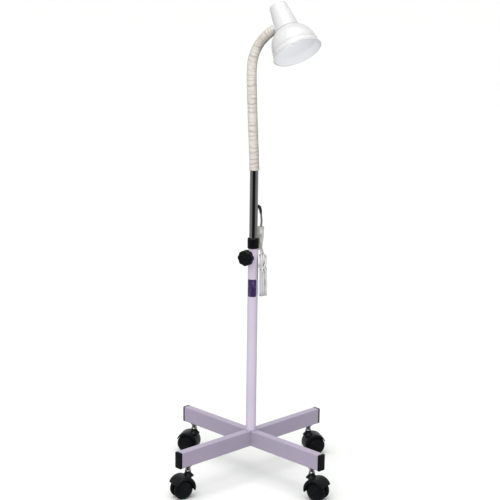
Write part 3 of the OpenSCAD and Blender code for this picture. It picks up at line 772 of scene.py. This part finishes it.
def sleeve():
    """The crinkled sleeve as one tube, cut into a section for each joint of the neck."""
    up = np.array([0.0, 0.0, 1.0])
    mids = [pivots[i] + LINK / 2 * lean_dir(LEAN[i]) for i in range(9)]
    dirs = [lean_dir(a) for a in LEAN]
    ends = [(np.array([0, 0, SLEEVE_FOOT]), up)] + list(zip(mids, dirs))
    ends.append((HEAD_AT - 29.9 * NECK_DIR, NECK_DIR))
    steps = [48] + [46] * 8 + [34]
    centre, cuts = [], [0]
    for (p0, d0), (p1, d1), n in zip(ends, ends[1:], steps):
        size = np.linalg.norm(p1 - p0)
        centre.extend(hermite(p0, d0 * size, p1, d1 * size, n)[:-1])
        cuts.append(len(centre))
    centre.append(ends[-1][0])
    centre = np.array(centre)
    rings, sides = len(centre), 72
    s = np.concatenate([[0], np.cumsum(np.linalg.norm(np.diff(centre, axis=0), axis=1))])
    tangent = np.gradient(centre, axis=0)
    tangent /= np.linalg.norm(tangent, axis=1)[:, None]
    theta = 2 * math.pi * np.arange(sides) / sides
    draw = random.Random(21)
    # Grooves: where each one crosses the front, how it slants, how deep it is
    grooves, at = [], -4.0
    while at < s[-1] + 12:
        near = at / s[-1]
        pitch = 8.6 if 0.06 < near < 0.24 else 12.0 if near < 0.62 else 8.4
        grooves.append((at, draw.uniform(1.6, 4.2), draw.uniform(-135, -45), draw.uniform(0.3, 1.6),
                        draw.uniform(0, 360), draw.uniform(0.5, 1.0), draw.uniform(0, 360),
                        draw.uniform(0.05, 0.48)))
        at += pitch * draw.uniform(0.6, 1.4)
    lines = np.array([g[0] - g[1] * np.cos(theta - deg(g[2])) + g[3] * np.cos(2 * theta - deg(g[4]))
                      for g in grooves])
    depth = np.array([g[5] * (1 - g[7] + g[7] * np.cos(theta - deg(g[6]))) for g in grooves])
    radius = np.zeros((rings, sides))
    fold_shade = np.zeros((rings, sides))
    for k in range(sides):
        where = np.clip(np.searchsorted(lines[:, k], s) - 1, 0, len(grooves) - 2)
        a, b = lines[where, k], lines[where + 1, k]
        u = np.clip((s - a) / np.maximum(b - a, 0.5), 0, 1)
        wave = np.sqrt(np.clip(1 - (2 * u - 1) ** 2, 0, 1)) ** 0.9
        deep = depth[where, k] * (1 - u) + depth[where + 1, k] * u
        ripple = 0.10 * np.sin(s * 2.1 + 3 * math.sin(theta[k]) + 2 * math.cos(2 * theta[k]))
        radius[:, k] = SLEEVE_R + FOLD_DEPTH - FOLD_DEPTH * deep * (1 - wave) + ripple
        # painted shade in each groove, and more in the lower half of each fold, which is in its own shade
        under = np.clip(1 - u * 1.7, 0, 1) ** 1.5
        fold_shade[:, k] = np.clip(deep * (1.25 * (1 - wave) ** 1.1 + 0.42 * under), 0, 1)
    # Slow bulges, the flared foot over the chrome tube, and the end tucked in at the head
    slow = 0.32 * np.sin(s / 13.0) + 0.25 * np.sin(s / 31.0 + 1)
    flare = 1.1 * np.exp(-s / 5.0) - 0.5 * np.exp(-((s - 24) / 10) ** 2)
    tuck = -1.1 * np.exp(-(s[-1] - s) / 2.5)
    radius += (slow * 0.5 + flare + tuck)[:, None]
    radius[0] -= 1.0
    radius[1] -= 0.35
    # Painted shade along its inner side and at the back, and real soil, greyer, where hands bend it
    bend = np.clip((s - 255) / 60, 0, 1) * np.clip((s[-1] + 20 - s) / 60, 0, 1)
    # painted shade: darker along the inner side and in a narrow strip at the back
    side_shade = (np.clip(0.5 + 0.5 * np.cos(theta - deg(15)), 0, 1) ** 3.0
              + 0.5 * np.clip(-np.cos(theta + deg(6)), 0, 1) ** 9)
    mottle = 0.5 + 0.5 * (np.sin(s[:, None] * 1.7 + 4 * np.sin(3 * theta)[None, :])
                          * np.sin(s[:, None] * 0.63 + 5 * theta[None, :]))
    handled = 0.12 + 0.30 * side_shade[None, :] + 0.24 * mottle
    soil_and_side_shade = np.clip(0.03 + 0.62 * side_shade[None, :] + bend[:, None] * handled, 0, 0.9)
    side = np.array([0.0, 1.0, 0.0])
    verts = np.zeros((rings, sides, 3))
    for i in range(rings):
        out = np.cross(side, tangent[i])
        spoke = np.cos(theta)[:, None] * out + np.sin(theta)[:, None] * side
        verts[i] = centre[i] + radius[i][:, None] * spoke
    normals = tube_normals(verts)
    for k, (a, b) in enumerate(zip(cuts, cuts[1:])):
        count = b - a + 1
        block = verts[a:b + 1].reshape(-1, 3) * MM
        faces = []
        for i in range(count - 1):
            for j in range(sides):
                here, beside = i * sides + j, i * sides + (j + 1) % sides
                faces.append((here, beside, beside + sides, here + sides))
        obj = link_mesh(f"sleeve_{k + 1}", block, faces)
        for attribute, values in (("fold_shade", fold_shade), ("soil_and_side_shade", soil_and_side_shade)):
            value = obj.data.attributes.new(attribute, "FLOAT", "POINT")
            value.data.foreach_set("value", values[a:b + 1].ravel().astype(np.float32))
        obj.data.normals_split_custom_set_from_vertices([tuple(v) for v in normals[a:b + 1].reshape(-1, 3)])
        dress(obj, "sleeve")
        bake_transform(obj)
    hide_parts("neck_socket")
    for k in range(9):
        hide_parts(f"neck_link_{k + 1}")


sleeve()


# ---------------------------------------------------------------- head

SHADE_MID_Z = -60


def bead(r, z, size, n, start, sweep):
    """Points on an arc of this size about (r, z)."""
    turns = [deg(start + sweep * k / n) for k in range(n + 1)]
    return [(r + size * math.cos(t), z + size * math.sin(t)) for t in turns]


def dome(r, low, high, n=26):
    """Points on a sphere of radius r about the shade's centre, from one radius to another."""
    a0, a1 = math.acos(low / r), math.acos(min(1, high / r))
    turns = [a0 + (a1 - a0) * k / n for k in range(n + 1)]
    return [(r * math.cos(t), SHADE_MID_Z + r * math.sin(t)) for t in turns]


shade_outer = dome(55.0, 20.3, 54.95) + [(55.1, -60.2)] + bead(55.4, -61.2, 1.25, 8, 75, -150) + [
    (56.3, -62.6), (57.3, -67), (58.5, -72), (59.6, -76.2)]
lip = bead(59.5, -77.0, 1.05, 14, 60, -250)
shade_inner = [(58.4, -75.2), (57.3, -71), (56.0, -66), (55.0, -62.4), (54.2, -60.6), (54.0, -59.6)]
shade_inner += dome(54.0, 53.9, 20.3)
shade_wall = lathe("shade_shell", shade_outer + lip + shade_inner + [(20.3, -8.9)], HEAD, 160)
dress(shade_wall, "white")
shade_wall.data.materials.append(MAT["inside"])
# The shade's inner faces, above the lip, take the whiter enamel, made brighter than the outer white as painted
# light
local = HEAD.inverted()
centre = Vector((0, 0, SHADE_MID_Z * MM))
for p in shade_wall.data.polygons:
    c, n = local @ p.center, local.to_3x3() @ p.normal
    if n.dot(c - centre if c.z > centre.z else Vector((c.x, c.y, 0))) < 0 and c.z > -0.0762:
        p.material_index = 1
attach(shade_wall, "head")
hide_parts("shade")

housing_points = [(28.1, -12.7), (29.3, -13.1, 0.4), (30.0, -12.2, 0.6), (29.7, -10.4, 0.5),
                  (29.25, -9.8, 0.5), (21.6, 50.8, 2.5), (20.7, 53.9, 2.2), (17.6, 55.0, 2.0), (0, 55.3)]
housing_in = [(0, 53.8), (16.8, 53.8, 2.5), (20.3, 50.6, 2.0), (28.1, -12.7)]
housing = lathe("housing_shell", fillet(housing_points, 6) + fillet(housing_in, 4), HEAD, 128)
seat_place = HEAD @ Matrix.Rotation(deg(90), 4, "Y")
seat_profile = fillet([(5.05, -29.8), (10.4, -29.8, 1.0), (11.4, -28.6, 0.8), (12.0, -25, 2.0),
                       (14.4, -21.5), (5.05, -21.5), (5.05, -29.8)], 5)
seat = lathe("housing_seat", seat_profile, seat_place, 64)
housing = joined("housing_shell", [housing, seat])
dress(housing, "white")
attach(housing, "head")
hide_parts("socket_housing")

BULB_Z, BULB_R = -31, 22.5
bulb_profile = [(BULB_R * math.cos(deg(a)), BULB_Z + BULB_R * math.sin(deg(a))) for a in range(-90, 45, 5)]
bulb_profile += [(14.6, BULB_Z + 18.2), (13.2, BULB_Z + 21.4), (12.7, BULB_Z + 25), (12.6, BULB_Z + 29.5),
                 (0, BULB_Z + 29.5)]
bulb = dress(lathe("lamp_bulb", bulb_profile, HEAD, 80), "bulb")
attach(bulb, "head")
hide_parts("bulb_glass")

ring_profile = fillet([(19.1, -11.7), (22.6, -12.1, 0.4), (24.0, -13.2, 0.8), (24.0, -15.1, 0.6),
                       (22.8, -15.7, 0.5), (19.1, -15.7), (19.1, -11.7)], 4)
clamp_ring = lathe("shade_clamp_ring", ring_profile, HEAD, 144,
                   lambda a, r, z: -0.55 * (0.5 + 0.5 * math.cos(24 * a)) ** 3 if r > 23 else 0)
dress(clamp_ring, "holder")
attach(clamp_ring, "head")
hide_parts("shade_ring")

cap_profile = [(0, BULB_Z + 29), (13.2, BULB_Z + 29)]
for k in range(6):
    z = BULB_Z + 31.2 + 3.2 * k
    cap_profile += [(12.5, z), (13.15, z + 1.1), (13.15, z + 1.7), (12.5, z + 2.8)]
cap_profile += [(12.4, BULB_Z + 51), (9, BULB_Z + 53.4), (4.6, BULB_Z + 54.6), (4.4, BULB_Z + 56),
                (0, BULB_Z + 56.2)]
cap = dress(lathe("bulb_screw_cap", cap_profile, HEAD, 72), "nickel")
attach(cap, "head")
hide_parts("bulb_cap")


# ---------------------------------------------------------------- post, collar and knob

collar_profile = fillet([(12.76, 589), (13.2, 589, 0.3), (14.2, 590.2, 0.8), (14.2, 592.4),
                         (13.95, 592.7), (13.95, 593.3), (14.2, 593.6), (14.2, 613.4, 1.2),
                         (12.6, 615.0, 1.0), (11.2, 615.0, 0.5), (10.62, 614.2), (10.62, 603.2),
                         (12.76, 603.2), (12.76, 589)], 4)


def fluted(a, r, z):
    """Shallow flutes round the collar's side."""
    return -0.22 * (0.5 + 0.5 * math.cos(36 * a)) ** 2 if r > 14.1 and 594 < z < 611 else 0


collar = dress(lathe("post_collar", collar_profile, None, 144, fluted), "black")
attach(collar, "base")
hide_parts("mast_collar")

KNOB = along(244, 572)


def lobed(a, r, z):
    """Eight finger lobes round the knob's rim, fading out towards its middle."""
    if r < 12:
        return 0
    dip = (0.5 - 0.5 * math.cos(8 * a)) ** 1.8
    return -1.5 * dip * min(1, (r - 12) / 6)


knob_profile = fillet([(4.1, 28), (10, 27, 0.8), (11, 28, 0.6), (11.4, 31.4, 1.2), (17.0, 32.2, 1.2),
                       (19.6, 34.0, 1.6), (20.0, 38.0, 3.0), (19.6, 45.4, 2.0), (17.6, 48.0, 2.0),
                       (14.5, 48.9, 1.0), (13.4, 48.4, 0.6), (12.4, 47.9, 0.6), (6.6, 48.3, 1.0), (0, 48.5)], 5)
knob = dress(lathe("knob_grip", knob_profile, KNOB, 192, lobed), "black")
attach(knob, "clamp_knob")
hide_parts("clamp_knob")

boss_profile = fillet([(8.0, 9.0), (8.0, 23.2, 0.8), (7.2, 24.0, 0.6), (4.3, 24.0, 0.2), (4.06, 23.6),
                       (4.06, 9.0), (8.0, 9.0)], 4)
weld = [(8.0, 12.9), (8.7, 12.4), (9.4, 11.6), (9.9, 10.4), (9.2, 9.4), (8.0, 9.2), (8.0, 12.9)]
boss = joined("boss_ring", [lathe("boss", boss_profile, KNOB, 64), lathe(
    "weld", weld, KNOB, 96, lambda a, r, z: 0.16 * math.sin(26 * a) + 0.1 * math.sin(11 * a + 1))])
dress(boss, "post")
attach(boss, "base")
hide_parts("clamp_boss")


def film():
    """The label: a thin film with worn corners, wrapped round the post."""
    low, high, mid, half, r = 468.0, 512.0, 260.0, 52.0, 12.7
    rows, cols, wear = 44, 60, 12
    draw = random.Random(4)
    edge = [draw.uniform(-0.25, 0.25) for _ in range(200)]
    verts = []
    for layer in (r + 0.3, r + 0.02):
        for i in range(rows + 1):
            for j in range(cols + 1):
                u, v = 2 * j / cols - 1, 2 * i / rows - 1
                # round the corners by pulling them in
                near_corner = abs(u) > 0.8 and abs(v) > 0.8
                corner = max(0.0, (abs(u) ** 8 + abs(v) ** 8) ** 0.125 - 1) if near_corner else 0
                pull = 1 - 0.55 * corner
                ragged = edge[i % 200] * 0.012 * abs(u) ** wear
                a = deg(mid + half * u * pull) + ragged * (1 if u > 0 else -1)
                z = (low + high) / 2 + (high - low) / 2 * v * pull + edge[(j * 3) % 200] * abs(v) ** wear
                is_face = layer > r + 0.1
                lift = 0.10 * max(0, u - 0.9) * 10 * (1 if v < 0 else 0.3) if is_face else 0
                rr = layer + lift + (0.02 * math.sin(9 * v + 4 * u) if is_face else 0)
                verts.append((rr * MM * math.cos(a), rr * MM * math.sin(a), z * MM))
    faces, w, n = [], cols + 1, (rows + 1) * (cols + 1)
    for i in range(rows):
        for j in range(cols):
            a = i * w + j
            faces.append((a, a + 1, a + 1 + w, a + w))
            faces.append((n + a + w, n + a + 1 + w, n + a + 1, n + a))
    rim = list(range(w)) + [i * w + cols for i in range(1, rows + 1)]
    rim += [rows * w + j for j in range(cols - 1, -1, -1)] + [i * w for i in range(rows - 1, 0, -1)]
    for a, b in zip(rim, rim[1:] + rim[:1]):
        faces.append((a, n + a, n + b, b))
    obj = link_mesh("label_film", verts, faces)
    obj.data.set_sharp_from_angle(angle=deg(50))
    return obj


label = dress(film(), "label")
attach(label, "base")
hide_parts("post_label")


# ---------------------------------------------------------------- base: end caps and weld beads

ARM_ANGLES = dict(zip(CASTERS, (225, 315, 45, 135)))
TRAIL_ANGLES = dict(zip(CASTERS, (212, -32, 15, 165)))
STEM_AT = 213.0
AXLE_X, AXLE_Z = 18, 24.5
caps = []
for key, angle in ARM_ANGLES.items():
    place = along(angle, 100)
    plate = slab(f"cap_{key}", round_outline(40.7, 20.7, 2.2), 240.3, 245.0, 0.6, place, 4)
    plug_in = slab(f"cap_plug_{key}", round_outline(36.8, 16.8, 0.9), 228.0, 242.3, 0.3, place, 2)
    caps.append(joined(f"end_cap_{key}", [plate, plug_in]))
end_caps = joined("end_caps_moulded", caps)
dress(end_caps, "black")
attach(end_caps, "base")
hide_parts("end_caps")

weld_profile = fillet([(12.6, 120.0), (15.2, 119.7), (15.5, 120.5, 0.4), (14.6, 121.9, 0.9),
                       (13.3, 123.0, 0.6), (12.6, 123.4), (12.6, 120.0)], 4)
foot_weld = lathe("post_weld", weld_profile, None, 180,
                  lambda a, r, z: 0.22 * math.sin(34 * a) * (r > 13) + 0.15 * math.sin(13 * a + 2) * (r > 13))
dress(foot_weld, "frame")
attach(foot_weld, "base")


# ---------------------------------------------------------------- casters

def caster_place(key):
    """From a caster's own drawing, with its stem on the axis, to its place under its arm."""
    return (Matrix.Rotation(deg(ARM_ANGLES[key]), 4, "Z") @ Matrix.Translation((STEM_AT * MM, 0, 0))
            @ Matrix.Rotation(deg(TRAIL_ANGLES[key] - ARM_ANGLES[key]), 4, "Z"))


def wheel_pair(key):
    """Two domed wheels on one axle, each with a softer tread ring and a moulded ring on its face."""
    place = caster_place(key) @ Matrix.Translation((AXLE_X * MM, 0, AXLE_Z * MM))
    cover = [(0, 16.9), (4.0, 16.8), (5.2, 16.4, 0.4), (5.6, 15.8, 0.3), (6.4, 15.9, 0.3),
             (13.6, 15.0, 0.5), (14.3, 14.3, 0.3), (15.0, 14.6, 0.3), (20.2, 12.6, 1.4),
             (22.8, 10.2, 0.8), (23.0, 9.4)]
    tread = [(23.0, 9.4), (23.9, 9.2, 0.5), (24.5, 8.2, 0.8), (24.5, 2.6, 0.8), (23.6, 1.2, 0.6),
             (21.0, 0.4, 0.5), (20.5, 0.8), (20.5, 7.5), (7.0, 7.5), (6.5, 0.2), (3.0, 0.2)]
    parts = []
    for side in (-1, 1):
        turn = place @ Matrix.Rotation(deg(side * 90), 4, "X") @ Matrix.Translation((0, 0, 4.6 * MM))
        parts.append(lathe(f"cover_{side}", fillet(cover, 4), turn, 96))
        parts.append(lathe(f"tread_{side}", fillet(tread, 4), turn, 96))
    split = []
    for i, p in enumerate(parts):
        split += [i % 2] * len(p.data.polygons)
    obj = joined(f"wheel_pair_{key}", parts)
    dress(obj, "wheel")
    obj.data.materials.append(MAT["tread"])
    obj.data.polygons.foreach_set("material_index", split)
    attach(obj, f"wheels_{key}")
    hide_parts(f"caster_wheels_{key}")


HOOD_MID = (15.5, 29.0)
HOOD_R = 28.5
HOOD_HALF = 21.4
HOOD_START, HOOD_END = 21.0, 199.0
HOOD_SHOULDER, HOOD_CROWN = 7.5, 13.9
WHEEL_ROOM = 25.15


def hood_column(angle):
    """Outer and inner points (y, radius) of the hood's section at this angle round its middle."""
    # how far out the wheels' clearance circle reaches from the hood's own middle
    off_x, off_z = AXLE_X - HOOD_MID[0], AXLE_Z - HOOD_MID[1]
    b = off_x * math.cos(deg(angle)) + off_z * math.sin(deg(angle))
    room = b + math.sqrt(b * b - (off_x ** 2 + off_z ** 2) + WHEEL_ROOM ** 2)
    under = max(HOOD_R - 2.5, room)
    outer, inner = [], []
    for k in range(8):
        t = deg(90 * k / 7)
        outer.append((-HOOD_HALF + HOOD_SHOULDER * (1 - math.cos(t)), HOOD_R - 2.6 + 2.3 * math.sin(t)))
        inner.append((-HOOD_HALF if k == 0 else -19.0 + 0.5 * max(0, k - 2), room if k < 2 else under))
    for k in range(1, 6):
        y = -HOOD_CROWN + 2 * HOOD_CROWN * k / 6
        outer.append((y, HOOD_R - 0.3 + 0.3 * (1 - (y / HOOD_CROWN) ** 2)))
        inner.append((y, under))
    outer += [(-y, r) for y, r in outer[7::-1]]
    inner += [(-y, r) for y, r in inner[7::-1]]
    return outer, inner


def hood(key):
    """The thin hood over both wheels with its web and the round socket that the stem turns in."""
    place = caster_place(key)
    verts, faces, n = [], [], 44
    grid = [[], []]
    for i in range(n + 1):
        angle = HOOD_START + (HOOD_END - HOOD_START) * i / n
        for layer, column in enumerate(hood_column(angle)):
            row = []
            for y, r in column:
                row.append(len(verts))
                verts.append(((HOOD_MID[0] + r * math.cos(deg(angle))) * MM, y * MM,
                              (HOOD_MID[1] + r * math.sin(deg(angle))) * MM))
            grid[layer].append(row)
    o, w = grid
    m = len(o[0]) - 1
    for rows in grid:
        for i in range(n):
            for j in range(m):
                faces.append((rows[i][j], rows[i][j + 1], rows[i + 1][j + 1], rows[i + 1][j]))
    for i in range(n):
        faces.append((o[i][0], o[i + 1][0], w[i + 1][0], w[i][0]))
        faces.append((o[i][m], w[i][m], w[i + 1][m], o[i + 1][m]))
    for j in range(m):
        faces.append((o[0][j], w[0][j], w[0][j + 1], o[0][j + 1]))
        faces.append((o[n][j], o[n][j + 1], w[n][j + 1], w[n][j]))
    fender = link_mesh("fender", verts, faces)
    face_outwards(fender.data)
    fender.data.transform(place)
    socket_profile = fillet([(4.1, 41.6), (4.1, 65.0), (6.6, 65.0, 0.5), (7.5, 64.0, 0.6), (8.2, 61.0, 2.0),
                             (14.5, 54.0), (9.0, 51.0), (9.0, 41.6), (4.1, 41.6)], 5)
    socket = lathe("socket", socket_profile, place, 64)
    web_line = [(10.5, AXLE_Z - 7)]
    web_line += [(AXLE_X + 8 * math.cos(deg(a)), AXLE_Z + 8 * math.sin(deg(a))) for a in range(-120, 31, 15)]
    web_line += [(27, 40), (22, 49.2), (12, 50.6), (2, 49.5), (-4, 46), (-4, 42), (4, 38), (9, 30)]
    web = slab("web", web_line, -4, 4, 0.7, None, 3)
    web.data.transform(place @ UPRIGHT)
    obj = joined(f"hood_{key}", [fender, socket, web])
    dress(obj, "wheel")
    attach(obj, f"caster_{key}")
    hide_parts(f"caster_hood_{key}")


def swivel_ring(key):
    """The pressed steel cup over the hood's socket, and the washer under the arm."""
    place = caster_place(key)
    cup = fillet([(6.5, 65.6), (7.9, 65.8, 0.3), (8.2, 66.6, 0.4), (7.4, 68.0, 0.4), (6.6, 68.6),
                  (6.5, 68.8), (6.5, 65.6)], 3)
    washer = fillet([(6.5, 78.2), (9.0, 78.2, 0.3), (9.3, 78.6, 0.3), (9.3, 79.6, 0.3), (8.9, 80.0),
                     (6.5, 80.0), (6.5, 78.2)], 3)
    obj = joined(f"swivel_cup_{key}", [lathe("cup", cup, place, 48), lathe("washer", washer, place, 48)])
    dress(obj, "zinc")
    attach(obj, "base")


for key in CASTERS:
    wheel_pair(key)
    hood(key)
    swivel_ring(key)


# ---------------------------------------------------------------- CAD nodes that stay, with their finish

KEPT = {
    # the base's beams take the darker, painted-shade copy of the lavender paint
    "base_bar": ("frame", 0.0), "base_arm_left": ("frame", 0.0), "base_arm_right": ("frame", 0.0),
    "post": ("post", 0.0), "caster_stems": ("zinc", 0.35), "caster_nuts": ("zinc", 0.4),
    "clamp_shoe": ("brass", 0.25), "clamp_stud": ("zinc", 0.3), "mast_guide": ("nylon", 0.3),
    "mast_tube": ("chrome", 0.0), "neck_end_fitting": ("zinc", 0.3), "head_nipple": ("zinc", 0.2),
    "head_locknut": ("zinc", 0.3), "holder_bracket": ("zinc", 0.2), "holder_nut": ("zinc", 0.2),
    "lampholder": ("holder", 0.4), "lamp_contacts": ("brass", 0.15), "plug_pins": ("nickel", 0.35),
}
KEPT.update({f"caster_axle_{c}": ("zinc", 0.3) for c in CASTERS})
for name, (material, edge) in KEPT.items():
    node = NODES[name]
    dress(node, material)
    if edge:
        soften(node, edge)


# ---------------------------------------------------------------- floor, light and air

def floor_material():
    s = Shader("studio_floor")
    s.color(s.ramp(s.noise(1.4, 3), [(0.3, (0.945, 0.955, 0.93)), (0.7, (0.955, 0.965, 0.94))]))
    s.rough(s.range(s.noise(3, 2), 0.75, 0.85))
    return s.set(Specular_IOR_Level=0.2).mat


floor = link_mesh("floor", [(-60, -60, 0), (60, -60, 0), (60, 60, 0), (-60, 60, 0)], [(0, 1, 2, 3)], False)
floor.data.materials.append(floor_material())
floor.visible_glossy = False
floor.visible_diffuse = False


def area_light(name, place, target, size, power, color):
    data = bpy.data.lights.new(name, "AREA")
    data.shape, data.size, data.size_y = "RECTANGLE", size[0], size[1]
    data.energy, data.color = power, color
    obj = new_object(name, data)
    obj.location = place
    obj.rotation_euler = (Vector(target) - Vector(place)).to_track_quat("-Z", "Y").to_euler()
    return obj


area_light("key", (-0.75, -2.5, 2.25), (0, 0, 0.75), (0.7, 0.7), 9, (1.0, 0.99, 0.98))
# A narrow light from low on the right, into the shade
low = area_light("low", (1.1, -1.3, 0.35), (0.13, 0, 1.2), (0.4, 0.4), 0.26, (1.0, 0.99, 1.0))
low.data.spread = deg(24)
sun = bpy.data.lights.new("ceiling", "SUN")
sun.energy, sun.angle = 1.5, deg(50)
ceiling = new_object("ceiling", sun)
ceiling.rotation_euler = (deg(8), deg(-6), 0)


def air():
    """White around the object as the camera and the floor see it, and a darker room in its reflections."""
    world = bpy.data.worlds.new("studio")
    scene.world = world
    world.use_nodes = True
    t = world.node_tree
    t.nodes.clear()
    new, link = t.nodes.new, t.links.new
    way = new("ShaderNodeTexCoord")
    apart = new("ShaderNodeSeparateXYZ")
    link(way.outputs["Generated"], apart.inputs[0])
    room = new("ShaderNodeValToRGB")
    stops = [(0.0, 0.012), (0.095, 0.014), (0.135, 0.19), (0.5, 0.24), (0.85, 0.36), (1.0, 0.85)]
    e = room.color_ramp.elements
    while len(e) < len(stops):
        e.new(0.5)
    for slot, (at, v) in zip(e, stops):
        slot.position, slot.color = at, (v, v, v * 1.01, 1)
    half = new("ShaderNodeMath")
    half.operation = "MULTIPLY_ADD"
    half.inputs[1].default_value, half.inputs[2].default_value = 0.5, 0.5
    link(apart.outputs["Y"], half.inputs[0])
    link(half.outputs[0], room.inputs["Fac"])
    rays = new("ShaderNodeLightPath")
    # The room's light: most of it comes from the front and above
    toward = new("ShaderNodeVectorMath")
    toward.operation = "DOT_PRODUCT"
    toward.inputs[1].default_value = (-0.12, -0.98, 0.12)
    link(way.outputs["Generated"], toward.inputs[0])
    spread = new("ShaderNodeMapRange")
    for key, value in (("From Min", -1.0), ("From Max", 1.0), ("To Min", 0.10), ("To Max", 1.12)):
        spread.inputs[key].default_value = value
    link(toward.outputs["Value"], spread.inputs["Value"])
    plain = new("ShaderNodeBackground")
    plain.inputs["Color"].default_value = (0.98, 0.99, 1.0, 1)
    link(spread.outputs["Result"], plain.inputs["Strength"])
    seen = new("ShaderNodeBackground")
    seen.inputs["Color"].default_value = (0.975, 1.0, 0.965, 1)
    shiny = new("ShaderNodeBackground")
    link(room.outputs["Color"], shiny.inputs["Color"])
    first, second = new("ShaderNodeMixShader"), new("ShaderNodeMixShader")
    link(rays.outputs["Is Glossy Ray"], first.inputs[0])
    link(plain.outputs[0], first.inputs[1])
    link(shiny.outputs[0], first.inputs[2])
    link(rays.outputs["Is Camera Ray"], second.inputs[0])
    link(first.outputs[0], second.inputs[1])
    link(seen.outputs[0], second.inputs[2])
    link(second.outputs[0], new("ShaderNodeOutputWorld").inputs[0])


air()
